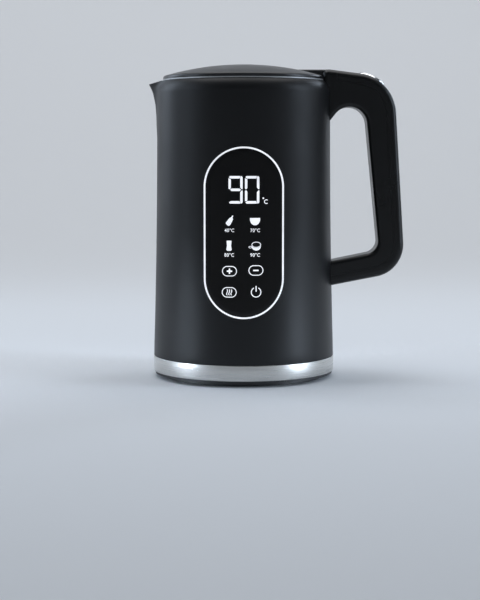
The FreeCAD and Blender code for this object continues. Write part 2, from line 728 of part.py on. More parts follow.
def board_components():
    relay = primitive("Box", "relay", Length=s.relay_length / 2, Width=s.relay_width, Height=s.relay_height)
    place(relay, -s.relay_length, -s.board_offset - s.relay_width / 2, board_top)
    parts = [relay]
    for number in range(2):
        can = primitive("Cylinder", "capacitor", Radius=s.capacitor_radius, Height=s.capacitor_height)
        parts.append(place(can, s.capacitor_radius * (2.5 * number + 1.5), -s.board_offset, board_top))
    return group("board_components", *parts)


def board_screws():
    return group("board_screws", *[screw(x, y, board_top + s.small_head_height, (1, 0, 0), 180, small=True)
                                   for x, y in board_corners()])


def mains_leads():
    """Three short wires from the connector over to the power board."""
    roof = socket_top + s.socket_wall
    high = roof + s.lead_rise
    leads = []
    for column in (-1, 0, 1):
        wire = body("lead")
        route = outline(sketch(wire, "YZ_Plane"), (0, 0),
                        (-s.lead_bend, high - roof - s.lead_bend, s.lead_bend),
                        (s.lead_start - s.lead_end + s.lead_bend, high - roof - s.lead_bend, s.lead_bend),
                        (s.lead_start - s.lead_end, board_top - roof), closed=False)
        section = circle(sketch(wire, "XY_Plane"), 0, 0, s.lead_radius)
        pipe = feature(wire, "AdditivePipe", section)
        pipe.Spine = (route, [])
        leads.append(place(wire, column * s.lead_pitch, -s.lead_start, roof))
    return group("mains_leads", *leads)


def control_back():
    return -(pot_radius + s.control_gap)


def control_ends():
    return s.panel_bottom + s.control_end, s.panel_bottom + s.panel_height - s.control_end


def control_board():
    low, high = control_ends()
    item = primitive("Box", "control_board", Length=s.control_width, Width=s.control_wall, Height=high - low)
    return place(item, -s.control_width / 2, control_back() - s.control_wall, low)


def light_box():
    """The frame that carries the panel's lamps, flat behind and following the shell in front."""
    piece = body("light_box")
    low, high = control_ends()
    flat = -control_back() + s.control_wall
    front = side_points(s.panel_proud - s.panel_wall - s.fit_gap, -1)
    back = s.pot_corner - pot_radius
    outline(profile := sketch(piece, "YZ_Plane"), *reversed(front), (back, side_bottom), (back, shoulder))
    revolve(piece, profile, s.light_box_angle)
    pocket(piece, box_outline(sketch(piece, "XY_Plane"), -pot_radius, pot_radius, -flat, pot_radius),
           2 * s.body_height, both=True)
    for bottom, top in ((0, low), (high, s.body_height)):
        pocket(piece, box_outline(sketch(piece, "XZ_Plane"), -pot_radius, pot_radius, bottom, top),
               2 * bottom_radius, back=True)
    return piece


def panel_piece(label, proud, outer_inset, inner_inset=None):
    """A piece of the shell's side cut out by the panel's outline."""
    piece = body(label)
    outer, inner = side_points(proud, -1), side_points(s.panel_proud - s.panel_wall, -1)
    outline(profile := sketch(piece, "YZ_Plane"), *reversed(outer), *inner)
    revolve(piece, profile, 3 * s.panel_half_width)
    surround = sketch(piece, "XZ_Plane")
    box_outline(surround, -bottom_radius, bottom_radius, 0, s.body_height)
    pocket(piece, stadium(surround, outer_inset), 2 * bottom_radius, back=True)
    if inner_inset is not None:
        pocket(piece, stadium(sketch(piece, "XZ_Plane"), inner_inset), 2 * bottom_radius, back=True)
    return piece


def light_ring():
    return panel_piece("light_ring", s.ring_proud, 0, s.ring_width)


def touch_panel():
    return panel_piece("touch_panel", s.panel_proud, s.ring_width + s.fit_gap)


def ribbon_cable():
    """The flat cable from the power board up to the control board."""
    piece = body("ribbon_cable")
    near = control_back() - (s.control_wall - s.ribbon_wall) / 2
    far = near - s.ribbon_wall
    low, start = board_top, -s.board_offset - s.board_depth / 2 + s.ribbon_landing
    top = control_ends()[0]
    bend = near + s.ribbon_bend - s.ribbon_wall, low + s.ribbon_bend
    outline(profile := sketch(piece, "YZ_Plane"), (start, low), (start, low + s.ribbon_wall),
            (*bend, s.ribbon_wall - s.ribbon_bend), (near, top), (far, top), (*bend, s.ribbon_bend))
    pad(piece, profile, s.ribbon_width, both=True)
    return piece


def lid_levels():
    trim = s.body_height + s.lid_gap
    skirt = trim + s.lid_trim_height
    edge = skirt + s.lid_edge
    floor = ledge + s.seal_gap + s.plug_rise
    return trim, skirt, edge, floor


def lid_shell():
    piece = body("lid_shell")
    trim, skirt, edge, floor = lid_levels()
    crown, inner = edge + s.lid_crown, lid_radius - s.lid_wall
    rise = s.lid_crown - s.lid_wall / 2
    outline(profile := sketch(piece, "XZ_Plane"), (lid_radius, skirt),
            Station(lid_radius, edge, bow=arc_radius(lid_radius, s.lid_crown)), (0, crown),
            Station(0, crown - s.lid_wall, bow=-arc_radius(inner, rise)), (inner, edge - s.lid_wall / 2),
            (inner, skirt))
    revolve(piece, profile)
    fillet(piece, s.lid_round, lambda edge_: round_edge(edge_, lid_radius.number, edge.number))
    lid_notch(piece)
    top = hinge_z + s.barrel_radius
    front = hinge_x - s.tongue_length
    tongue = outline(sketch(piece, "XZ_Plane"), (front, top), (front, skirt), (mouth_radius, skirt),
                     (hinge_x, hinge_z, s.barrel_radius))
    pad(piece, tongue, 2 * s.tongue_half_width, both=True)
    lid_tooth(piece)
    spring_slot(piece)
    bore = circle(sketch(piece, "XZ_Plane"), hinge_x, hinge_z, s.hinge_pin_radius + s.running_gap)
    pocket(piece, bore, 4 * s.tongue_half_width, both=True)
    circle_radius = lid_screw_circle()
    bosses, pilots = [sketch(piece, "XY_Plane", floor + s.plug_wall) for _ in range(2)]
    for degrees in (60, 180, 300):
        circle(bosses, *polar(circle_radius, degrees), s.lid_boss_radius)
        circle(pilots, *polar(circle_radius, degrees), s.screw_radius + s.screw_gap)
    share = circle_radius / lid_radius
    height = edge + s.lid_crown * (1 - share * share) - s.lid_wall / 2 - floor - s.plug_wall
    pad(piece, bosses, height)
    pocket(piece, pilots, height - s.lid_wall / 2, back=True)
    return piece


def lid_screw_circle():
    return mouth_radius - s.plug_gap - s.lid_screw_inset


def round_edge(edge, radius, z):
    """Tells the circular edge about Z of a given radius and height."""
    box = edge.BoundBox
    return abs(box.ZMax - z) < 1e-3 and abs(box.ZMin - z) < 1e-3 and abs(box.XMax - radius) < 1e-3


def lid_notch(piece):
    """Room at the lid's back for the cheeks that hold the hinge pin."""
    half = s.handle_half_width + s.notch_gap
    corner = lid_radius - s.notch_depth
    pocket(piece, box_outline(sketch(piece, "XY_Plane"), corner, lid_radius + s.notch_depth, -half, half),
           2 * s.body_height, back=True)


def lid_tooth(piece):
    """The tooth on the barrel that the latch's nose stands under."""
    points = [(hinge_x + reach * cosine(angle), hinge_z - reach * sine(angle))
              for reach, angle in ((s.barrel_radius - 1, s.tooth_start), (s.tooth_reach, s.tooth_start),
                                   (s.tooth_reach, s.tooth_end), (s.barrel_radius - 1, s.tooth_end))]
    pad(piece, outline(sketch(piece, "XZ_Plane"), *reversed(points)), 2 * s.tooth_half_width, both=True)


def spring_slot(piece):
    """The barrel stops short on one side, where the spring is wound round the pin."""
    drawing = sketch(piece, "XZ_Plane", s.tongue_half_width - s.spring_slot)
    room = circle(drawing, hinge_x, hinge_z, s.barrel_radius + s.fit_gap)
    pocket(piece, room, s.spring_slot + 1, back=True)


def lid_trim():
    piece = body("lid_trim")
    trim, skirt, edge, floor = lid_levels()
    box_outline(profile := sketch(piece, "XZ_Plane"), lid_radius - s.lid_wall, lid_radius + s.lid_trim_proud,
                trim, skirt)
    revolve(piece, profile)
    lid_notch(piece)
    return piece


def lid_base():
    piece = body("lid_base")
    trim, skirt, edge, floor = lid_levels()
    outer = mouth_radius - s.plug_gap
    outline(profile := sketch(piece, "XZ_Plane"), (0, floor), (outer, floor), (outer, skirt - s.lid_gap),
            (outer - s.plug_wall, skirt - s.lid_gap), (outer - s.plug_wall, floor + s.plug_wall),
            (0, floor + s.plug_wall))
    revolve(piece, profile)
    holes = sketch(piece, "XY_Plane", floor)
    for degrees in (60, 180, 300):
        circle(holes, *polar(lid_screw_circle(), degrees), s.screw_radius + s.screw_gap)
    pocket(piece, holes, 2 * s.plug_wall, back=True)
    return piece


def lid_liner():
    piece = body("lid_liner")
    floor = lid_levels()[3]
    radius = mouth_radius - s.plug_gap - s.liner_inset
    pad(piece, circle(sketch(piece, "XY_Plane", floor - s.liner_wall), 0, 0, radius), s.liner_wall)
    return piece


def lid_seal():
    piece = body("lid_seal")
    floor = lid_levels()[3]
    outer = mouth_radius - s.plug_gap
    box_outline(profile := sketch(piece, "XZ_Plane"), outer - s.seal_width, outer, ledge + s.seal_gap, floor)
    revolve(piece, profile)
    return piece


def lid_screws():
    floor = lid_levels()[3]
    return group("lid_screws", *[screw(*polar(lid_screw_circle(), degrees), floor - s.screw_head_height,
                                         length=s.lid_screw_length)
                                 for degrees in (60, 180, 300)])


def hinge_pin():
    length = 2 * s.handle_half_width - 2
    item = primitive("Cylinder", "hinge_pin", Radius=s.hinge_pin_radius, Height=length)
    return place(item, hinge_x, length / 2, hinge_z, (1, 0, 0), 90)


def coil(label, radius, wire, pitch, height):
    """A wire wound round Z from the ground plane up."""
    helix = primitive("Helix", f"{label}_path", Radius=radius, Pitch=pitch, Height=height)
    ring = primitive("Circle", f"{label}_wire", Radius=wire)
    place(ring, radius, 0, 0, (1, 0, 0), 90)
    item = primitive("Sweep", label)
    item.Sections, item.Spine, item.Solid, item.Frenet = [ring], (helix, ["Edge1"]), True, True
    return item


def lid_spring():
    item = coil("lid_spring", s.lid_spring_radius, s.lid_spring_wire, s.lid_spring_pitch,
                s.lid_spring_pitch * s.lid_spring_turns)
    side = s.spring_slot - s.tongue_half_width - 2 * s.lid_spring_wire
    return place(item, hinge_x, side, hinge_z, (1, 0, 0), 90)


def trimmed_root(piece):
    """Cuts the handle's root to the shell's side."""
    top = s.body_height + s.fit_gap
    outline(profile := sketch(piece, "XZ_Plane"), *shoulder_points(s.fit_gap), (rim_radius + s.fit_gap, top),
            (0, top), (0, side_bottom))
    revolve(piece, profile, cut=True)


def handle_back(inset):
    """The handle's outer back, crown and heel, moved in by a distance."""
    return (crown_x, crown_z, inset - s.crown_radius), (heel_x, s.heel_height, inset - s.heel_radius)


def handle_front(inset):
    """The finger gap's outline, moved into the handle by a distance."""
    return (nook_x, s.nook_height, s.nook_radius + inset), (arch_x, arch_z, s.arch_radius + inset)


def side_edges(piece, centre, outward):
    """The handle's long side edges that look away from a point, or towards it."""
    shape = piece.Tip.Shape

    def chosen(edge):
        box = edge.BoundBox
        if box.YLength > 1e-3 or abs(abs(box.Center.y) - s.handle_half_width.number) > 1e-3:
            return False
        middle = edge.valueAt((edge.FirstParameter + edge.LastParameter) / 2)
        away = V(middle.x - centre[0].number, 0, middle.z - centre[1].number)
        for face in shape.ancestorsOfType(edge, Part.Face):
            normal = face.normalAt(*face.Surface.parameter(middle))
            if abs(normal.y) < 0.5:
                return normal.dot(away) * outward > 0 and (normal.x > -0.9 or middle.x > arch_x.number)
    return chosen


def handle_grip():
    """The handle's inner half: root, cheeks and an open channel along the fingers' side."""
    piece = body("handle_grip")
    split = s.cover_depth + s.fit_gap
    outline(profile := sketch(piece, "XZ_Plane"), (root_x - 1, root_z), (root_x - 1, s.body_height - 1),
            (hinge_x, hinge_z, -s.barrel_radius), *handle_back(0), (root_x, s.arm_bottom),
            (root_x, s.arm_top), *handle_front(0))
    pad(piece, profile, 2 * s.handle_half_width, both=True)
    doc.recompute()
    for radius, outward in ((s.grip_round, -1), (s.handle_round, 1)):
        fillet(piece, radius, side_edges(piece, (arch_x, (arch_z + s.nook_height) / 2), outward))
        doc.recompute()
    cover_zone(piece, split)
    trimmed_root(piece)
    cavity = outline(sketch(piece, "XZ_Plane"), (bulkhead_x, crown_z + s.crown_radius),
                     *handle_back(split - 1), (bulkhead_x, s.arm_bottom),
                     (bulkhead_x, s.arm_top - s.handle_wall),
                     *handle_front(s.handle_wall), (bulkhead_x, arch_z + s.arch_radius + s.handle_wall))
    pocket(piece, cavity, 2 * (s.handle_half_width - s.handle_wall), both=True)
    hinge_room(piece)
    bore = circle(sketch(piece, "XZ_Plane"), hinge_x, hinge_z, s.hinge_pin_radius + s.fit_gap / 2)
    pocket(piece, bore, 2 * s.handle_half_width - 2, both=True)
    slot = box_outline(sketch(piece, "XZ_Plane"), hinge_x + s.hinge_setback + 1, bulkhead_x + 1,
                       latch_low - s.latch_gap, latch_low + s.nose_height + s.latch_gap)
    pocket(piece, slot, 2 * (s.latch_half_width + s.latch_gap), both=True)
    pocket(piece, handle_screw_holes(piece), s.body_top_radius + s.screw_length, back=True)
    return piece


def cover_zone(piece, inset):
    """Takes away the strip along the handle's back that the cover fills."""
    low, far = s.arm_bottom - s.heel_radius, heel_x + 2 * s.heel_radius
    start, top = hinge_x + s.cover_start - s.fit_gap, crown_z + s.crown_radius
    strip = outline(sketch(piece, "XZ_Plane"), (start, top + inset), (start, top - inset + 2),
                    *handle_back(inset), (root_x, s.arm_bottom + inset), (root_x, low), (far, low),
                    (far, top + inset))
    pocket(piece, strip, 3 * s.handle_half_width, both=True)


def handle_cover():
    """The handle's outer half, a hollow strip from the hinge round to the lower arm."""
    piece = body("handle_cover")
    start, top = hinge_x + s.cover_start, crown_z + s.crown_radius
    outline(profile := sketch(piece, "XZ_Plane"), (hinge_x, hinge_z, -s.barrel_radius), *handle_back(0),
            (root_x, s.arm_bottom), (root_x, s.arm_bottom + s.cover_depth),
            *returned(handle_back(s.cover_depth)),
            (start, top - s.cover_depth + 2), (root_x, top - s.cover_depth + 2))
    pad(piece, profile, 2 * s.handle_half_width, both=True)
    doc.recompute()
    fillet(piece, s.handle_round, side_edges(piece, (arch_x, (arch_z + s.nook_height) / 2), 1))
    pocket(piece, box_outline(sketch(piece, "XZ_Plane"), 0, start, s.arm_top, top + s.cover_depth),
           3 * s.handle_half_width, both=True)
    trimmed_root(piece)
    wall = s.handle_wall
    cavity = outline(sketch(piece, "XZ_Plane"), (bulkhead_x, top - wall + 1), *handle_back(wall),
                     (bulkhead_x, s.arm_bottom + wall + 1), (bulkhead_x, s.arm_bottom + s.cover_depth + 2),
                     *returned(handle_back(s.cover_depth + 1)), (bulkhead_x, top - s.cover_depth))
    pocket(piece, cavity, 2 * (s.handle_half_width - wall), both=True)
    hinge_room(piece)
    hole = pill(button_sketch(piece, 0), s.button_gap + s.bezel_width + s.fit_gap)
    pocket(piece, hole, 2 * s.crown_radius, back=True)
    return piece


def returned(stations):
    """The same circles gone round the other way."""
    return [(x, z, -turn) for x, z, turn in reversed(stations)]


def handle_screws():
    screws = []
    for z, part in ((s.body_height - s.handle_screw_drop, 0.95), (s.handle_screw_height, 0.3)):
        inside = inner_radius + (skirt_radius - s.skirt_wall - inner_radius) * round(1 - part, 3) - 0.5
        screws.append(screw(inside - s.screw_head_height, 0, z, (0, 1, 0), 90))
    return group("handle_screws", *screws)


def button_point(height, along):
    """A point seen from the side, at a height above the crown's centre along the button's line of travel."""
    return (crown_x + height * cosine(s.button_angle) + along * sine(s.button_angle),
            crown_z + height * sine(s.button_angle) - along * cosine(s.button_angle))


def button_sketch(piece, height):
    """A sketch square to the button's line of travel."""
    drawing = sketch(piece, "XY_Plane")
    x, z = button_point(height, 0)
    drawing.AttachmentOffset = FreeCAD.Placement(V(), FreeCAD.Rotation(V(0, 1, 0), 1))
    for name, value in (("Base.x", x), ("Base.z", z), ("Rotation.Angle", 90 - s.button_angle)):
        drawing.setExpression(f"AttachmentOffset.{name}", value.text)
    return drawing


def pill(drawing, grow):
    turn, reach = s.button_half_width + grow, s.button_half_length - s.button_half_width
    return outline(drawing, (-reach, 0, turn), (reach, 0, turn))


def crown_layer(piece, inner, outer):
    """Keeps what lies between two radii about the crown's centre."""
    width = 4 * s.handle_half_width
    if inner is not None:
        pocket(piece, circle(sketch(piece, "XZ_Plane"), crown_x, crown_z, inner), width, both=True)
    beyond = circle(sketch(piece, "XZ_Plane"), crown_x, crown_z, outer)
    pocket(piece, circle(beyond, crown_x, crown_z, outer + s.crown_radius), width, both=True)


def button_bezel():
    piece = body("button_bezel")
    low = s.crown_radius / 2
    pad(piece, pill(button_sketch(piece, low), s.button_gap + s.bezel_width), s.crown_radius)
    pocket(piece, pill(button_sketch(piece, low), s.button_gap), s.crown_radius, back=True)
    crown_layer(piece, s.crown_radius - s.handle_wall, s.crown_radius + s.bezel_proud)
    return piece


def release_button():
    """A pill-shaped cap with a flange that keeps it in and a stem whose slanted foot drives the latch."""
    piece = body("release_button")
    under = s.crown_radius - s.handle_wall - s.flange_gap
    pad(piece, pill(button_sketch(piece, s.crown_radius / 2), s.flange_width), s.crown_radius)
    crown_layer(piece, under - s.flange_wall, under)
    skirt = s.crown_radius - s.button_skirt
    pad(piece, pill(button_sketch(piece, skirt), 0), s.crown_radius / 2)
    crown_layer(piece, None, s.crown_radius)
    x, z = ramp_top
    foot = [(x + along, z + along * ramp_slope + s.latch_gap + s.fit_gap)
            for along in (-s.ramp_back, s.ramp_front)]
    top = skirt + s.flange_wall
    stem = outline(sketch(piece, "XZ_Plane"), *foot, button_point(top, -s.ramp_offset + 1),
                   button_point(top, -s.ramp_offset - 5))
    pad(piece, stem, 2 * s.latch_half_width, both=True)
    return piece


def latch_slider():
    """A bar with a nose behind the lid's tooth, a ramp under the button's stem and a tail for the spring."""
    piece = body("latch_slider")
    x, z = ramp_top
    nose, high = hinge_x + s.nose_reach, latch_low + s.latch_bar
    outline(profile := sketch(piece, "XZ_Plane"), (nose, latch_low), (x - s.latch_tail, latch_low),
            (x - s.latch_tail, latch_low - s.tail_drop), (x, latch_low - s.tail_drop), (x, z),
            (x - (z - high) / ramp_slope, high), (nose + s.nose_length, high),
            (nose + s.nose_length, latch_low + s.nose_height), (nose, latch_low + s.nose_height))
    pad(piece, profile, 2 * s.latch_half_width, both=True)
    return piece


def latch_spring():
    wire, length = s.latch_spring_wire, s.latch_spring_length - 2 * s.latch_spring_wire
    item = coil("latch_spring", s.latch_spring_radius, wire, length / s.latch_spring_turns, length)
    return place(item, ramp_top[0] + wire + s.fit_gap, 0, latch_low - s.latch_bar / 5, (0, 1, 0), 90)


latch_low = s.body_height - s.latch_drop
ramp_top = button_point(s.crown_radius - s.ramp_depth, -s.ramp_offset)
ramp_slope = (s.button_travel * sine(s.button_angle)
              / (s.button_travel * cosine(s.button_angle) + s.latch_travel))


PIECES = (outer_shell, trim_ring, base_cover, base_screws, inner_pot, pot_seal, top_collar, filter_frame,
          filter_mesh, heat_plate, heating_element, element_terminals, temperature_sensor, sensor_seal,
          thermal_cutout, connector_housing, contact_pin, contact_ring, power_board, board_components,
          board_screws, mains_leads, ribbon_cable, control_board, light_box, light_ring, touch_panel,
          lid_shell, lid_trim, lid_base, lid_liner, lid_seal, lid_screws, hinge_pin, lid_spring, handle_grip,
          handle_cover, handle_screws, button_bezel, release_button, latch_slider, latch_spring)


def main():
    pieces = [make() for make in PIECES]
    doc.recompute()
    failed = [item.Label for item in doc.Objects if {"Invalid", "Error"} & set(item.State)]
    failed += [piece.Label for piece in pieces if piece.Shape.isNull() or not piece.Shape.isValid()]
    if failed:
        raise SystemExit(f"these did not build: {', '.join(failed)}")
    os.makedirs("parts", exist_ok=True)
    for piece in pieces:
        piece.Shape.exportStep(f"parts/{piece.Label}.step")


main()
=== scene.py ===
"""Dresses a cordless electric kettle: its visible shells, panel and figures, every piece's finish, and a stage."""

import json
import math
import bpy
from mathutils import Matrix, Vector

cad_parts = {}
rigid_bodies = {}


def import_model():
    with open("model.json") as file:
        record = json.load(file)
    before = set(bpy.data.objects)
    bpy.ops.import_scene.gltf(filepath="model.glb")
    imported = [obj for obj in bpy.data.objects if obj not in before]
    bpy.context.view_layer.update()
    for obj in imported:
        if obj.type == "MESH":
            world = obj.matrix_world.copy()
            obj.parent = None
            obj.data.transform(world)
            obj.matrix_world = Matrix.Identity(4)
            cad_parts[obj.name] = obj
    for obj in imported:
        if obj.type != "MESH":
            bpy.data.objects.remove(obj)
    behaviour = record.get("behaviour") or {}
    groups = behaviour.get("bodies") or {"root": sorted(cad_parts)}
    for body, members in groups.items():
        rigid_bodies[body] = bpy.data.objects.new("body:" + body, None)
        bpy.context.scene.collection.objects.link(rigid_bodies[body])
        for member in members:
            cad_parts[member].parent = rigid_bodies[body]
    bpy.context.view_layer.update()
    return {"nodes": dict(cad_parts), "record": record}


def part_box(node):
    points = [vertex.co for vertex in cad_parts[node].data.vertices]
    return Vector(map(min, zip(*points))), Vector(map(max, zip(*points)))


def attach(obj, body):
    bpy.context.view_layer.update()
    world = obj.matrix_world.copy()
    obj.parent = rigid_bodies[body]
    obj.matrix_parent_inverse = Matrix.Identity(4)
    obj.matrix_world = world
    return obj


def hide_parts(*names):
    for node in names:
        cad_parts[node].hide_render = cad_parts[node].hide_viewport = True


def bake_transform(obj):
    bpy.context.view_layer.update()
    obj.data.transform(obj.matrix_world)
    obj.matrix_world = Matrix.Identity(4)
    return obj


bl_info = {
    "name": "Cordless Kettle",
    "version": (1, 0, 0),
    "blender": (4, 5, 0),
    "location": "3D View > Sidebar > Kettle",
    "description": "Builds and finishes a jug-shaped cordless electric kettle with a lit touch panel",
    "category": "Add Mesh",
}

import bmesh
import bpy
from bpy.props import FloatProperty, FloatVectorProperty, PointerProperty
from bpy.types import Operator, Panel, PropertyGroup
from mathutils import Matrix, Vector

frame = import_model()
NODES = frame["nodes"]
MM = 0.001
# Edges that turn by more degrees than this are drawn sharp, on most pieces and on the bezel.
CREASE, BEZEL_CREASE = 35.0, 25.0

# The shell's outline, in millimetres: its side flares from the shoulder down to the trim ring.
SIDE_BOTTOM, SHOULDER, BODY_TOP = 17.1, 226.0, 235.6
TOP_RADIUS, FLARE, RIM_RADIUS, MOUTH_RADIUS, LEDGE = 69.0, 3.5, 64.6, 62.0, 228.0
# The skirt behind the trim ring, the shell's lower edge, and its inside from the mouth down.
SKIRT_RADIUS, SKIRT_BOTTOM, SKIRT_TOP, EDGE_RADIUS = 71.3, 6.2, 16.9, 72.4
MOUTH_MIDDLE, LEDGE_RADIUS, INSIDE_RADIUS, INSIDE_HEIGHT, SKIRT_INSIDE = 231.6, 66.6, 66.9, 203.0, 69.1
# The rounding of the shell's lower edge, rim and mouth, and the steps in which shells and lid are turned.
EDGE_ROUND, RIM_ROUND, MOUTH_ROUND, SHELL_STEPS, LID_STEPS = 0.3, 0.8, 0.5, 360, 240
# Room in the shell for the lid's barrel: radius and half width.
BARREL_ROOM, BARREL_ROOM_HALF = 8.4, 8.9
# The trim ring, and the lip inside its lower edge, under the shell's skirt.
TRIM_RADIUS, TRIM_INSIDE, TRIM_BOTTOM, TRIM_TOP, LIP_INSIDE, LIP_TOP = 72.6, 71.4, 5.0, 17.0, 69.6, 6.1
# The panel's upright outline: a straight middle with half circles above and below, and the points round it.
PANEL_CENTRE, PANEL_STRAIGHT, RING_OUTER, PANEL_RADIUS, END_POINTS, SIDE_CUTS = 118.5, 34.7, 30.65, 29.3, 96, 27
# The panel's and the ring's thickness, the rounding of their edges, and the strips of faces that let them bend.
SHEET, SHEET_EDGE, PANEL_STRIPS, RING_STRIPS = 1.8, 0.25, (3.8,) * 7, (0.4, 0.45, 0.4)
# The lit figures: the digits' foot and head, the width of their strokes, and the preset words' size and middles.
DIGIT_LOW, DIGIT_HIGH, STROKE_WIDE, STROKE_TALL, WORD_WIDE, WORD_TALL = 140.9, 161.7, 1.8, 1.9, 7.3, 2.85
PRESETS = (("40°C", -11.0, 120.7), ("70°C", 8.6, 120.7), ("80°C", -11.1, 102.0), ("90°C", 8.6, 102.0))
# The four keys' middles, and the radius, stretch and line of the outlines round three of them.
PLUS, MINUS, WARM, POWER = (-10.9, 89.6), (9.2, 90.2), (-11.1, 73.5), (9.35, 73.6)
KEY_RADIUS, KEY_STRETCH, KEY_LINE = 3.95, 1.7, 0.62
# How far the figures stand over the panel, and how thick they are.
FIGURE_LIFT, FIGURE_SHEET = 0.06, 0.05
# The beak: its drop below the rim, its swell out of the side, its nose's radius and how its rim slopes to the tip.
BEAK_DROP, BEAK_SWELL, BEAK_SINK, BEAK_NOSE, BEAK_LEAN, BEAK_SLOPE = 31.0, 8.98, 1.2, 7.0, math.radians(38), 0.21
# The beak's wall, its easing into the shell, the angle to each side where it ends and the angle over which it fades.
BEAK_WALL, BEAK_EASE, BEAK_SPAN, BEAK_FADE = 2.4, 5.0, math.radians(46), math.radians(16)
# How fast the beak draws in below its root, how many drops down its points may lie, and the step out to its ledge.
BEAK_TUCK, BEAK_DEPTH, LEDGE_STEP = 2.5, 1.75, 0.3
# The lid: its radius, the heights of its skirt, edge and crown, its wall and the rounding of skirt and edge.
LID_RADIUS, LID_SKIRT, LID_EDGE, LID_CROWN, LID_WALL = 64.1, 236.9, 239.5, 248.9, 2.2
SKIRT_ROUND, BROW_ROUND = 0.3, 1.2
# The hinge behind the lid, and the tongue that reaches back to it.
HINGE_X, HINGE_Z, BARREL, TONGUE_FRONT, TONGUE_HALF, TONGUE_ROUND = 67.5, 239.2, 5.6, 40.0, 8.5, 1.6
# The lid's notch for the two cheeks that hold the pin: half its width, its gap to the barrel, its depth and reach.
NOTCH_HALF, BARREL_GAP, NOTCH_DROP, NOTCH_REACH = 14.5, 0.6, 3.0, 9.0
# The tooth that the latch holds, the lid spring's slot and the pin's bore.
TOOTH_ROOT, TOOTH_REACH, TOOTH_TURNS, TOOTH_HALF = 4.6, 8.0, (math.radians(15), math.radians(38)), 2.5
SLOT_RADIUS, SLOT_HALF, SLOT_MIDDLE, BORE_RADIUS, BORE_HALF = 4.15, 2.6, -6.1, 2.05, 10.0
# The bezel round the button, on the handle's crown: the crown's centre, radius and slope, the bezel's spine and hole.
CROWN_X, CROWN_Z, CROWN, CROWN_LEAN, SPINE_HALF, BEZEL_HOLE = 88.0, 208.9, 33.0, math.radians(64.35), 4.3, 5.3
# The bezel's section: out from its hole and up from the crown, with a cut edge all round its outside.
BEZEL_SECTION = ((0, -2.4), (0, 0.8), (0.12, 1.1), (0.4, 1.25), (1.1, 1.25), (1.25, 1.2), (2.15, 0.3), (2.2, 0.15),
                 (2.2, -2.4))
# The stage, in metres: the radius of its flat floor, of the bend up to its wall, and the wall's height.
FLAT, BEND, WALL = 0.8, 3.2, 4.16
# What the lights point at, their colours, and each light's place, width, height, power, spread, colour and aim.
MIDDLE, FOOT, BACKDROP, WHITE, COOL = (0.01, 0, 0.13), (0, 0, 0), (0, 4, 0.7), "#fbfcff", "#d9e8fa"
LIGHTS = {
    "left_box": ((-1.4, -0.3, 0.6), 0.5, 1.1, 0.8, 80, COOL, MIDDLE),
    "right_box": ((1.4, -0.2, 0.6), 0.45, 1.1, 1.5, 80, COOL, MIDDLE),
    "left_rim": ((-1.3, 0.75, 0.7), 0.7, 1.1, 1.6, 80, COOL, MIDDLE),
    "right_rim": ((1.1, 1.05, 0.7), 0.3, 0.9, 0.9, 80, COOL, MIDDLE),
    "left_low": ((-1.0, -0.26, 0.13), 0.3, 0.12, 0.06, 9, COOL, FOOT),
    "right_low": ((1.0, -0.33, 0.13), 0.3, 0.12, 0.06, 9, COOL, FOOT),
    "top_box": ((0, 0.3, 1.9), 2.2, 1.6, 25, 180, WHITE, MIDDLE),
    "wall_box": ((0, 1.5, 2.5), 3.4, 0.7, 42, 180, WHITE, BACKDROP),
}
# The camera's place in metres, its tilt below the level in degrees and its sensor's height in millimetres.
CAMERA, TILT, SENSOR = (-0.0029, -1.196, 0.1787), 5.634, 36
# The turn that stands a shape drawn in the XY plane upright.
UPRIGHT = Matrix.Rotation(math.radians(90), 3, "X")


def linear(code):
    """A colour written as an sRGB hex value, made linear."""
    parts = [int(code[i : i + 2], 16) / 255 for i in (1, 3, 5)]
    return [c / 12.92 if c <= 0.04045 else ((c + 0.055) / 1.055) ** 2.4 for c in parts]


def add(tree, kind, inputs=None, **settings):
    """Adds a node, sets it up, and links or sets each of its named inputs."""
    node = tree.nodes.new(kind)
    for name, value in settings.items():
        setattr(node, name, value)
    for name, value in (inputs or {}).items():
        socket = node.inputs[name]
        if isinstance(value, bpy.types.NodeSocket):
            tree.links.new(value, socket)
        elif socket.type == "RGBA":
            socket.default_value = [*value, 1.0]
        else:
            socket.default_value = value
    return node


def per_mm(size):
    """The texture scale at which a pattern's features are about this many millimetres wide."""
    return 1 / (size * MM)


class KettleSizes(PropertyGroup):
    ring_proud: FloatProperty(
        name="Light Ring Height", description="How far the lit ring stands out of the shell", default=0.35 * MM,
        min=0, subtype="DISTANCE", unit="LENGTH")
    panel_proud: FloatProperty(
        name="Panel Height", description="How far the touch panel stands out of the shell", default=0.2 * MM,
        min=0, subtype="DISTANCE", unit="LENGTH")
    ring_edge: FloatProperty(
        name="Trim Edge", description="Rounding along the trim ring's edges", default=0.7 * MM,
        min=0, subtype="DISTANCE", unit="LENGTH")
    lens: FloatProperty(
        name="Focal Length", description="Focal length of the camera, in millimetres", default=89.16,
        min=10, subtype="DISTANCE_CAMERA")


class KettleColours(PropertyGroup):
    shell: FloatVectorProperty(
        name="Shell", description="Colour of the outer shell", default=linear("#0d0e10"), size=3, min=0, max=1,
        subtype="COLOR")
    lid: FloatVectorProperty(
        name="Lid", description="Colour of the lid's top", default=linear("#131416"), size=3, min=0, max=1,
        subtype="COLOR")
    handle: FloatVectorProperty(
        name="Handle", description="Colour of the handle", default=linear("#0a0b0c"), size=3, min=0, max=1,
        subtype="COLOR")
    light: FloatVectorProperty(
        name="Panel Light", description="Colour of the lit ring and figures", default=linear("#f4f8ff"), size=3,
        min=0, max=1, subtype="COLOR")
    floor: FloatVectorProperty(
        name="Floor", description="Colour of the stage", default=linear("#d8dbde"), size=3, min=0, max=1,
        subtype="COLOR")


# Finishes


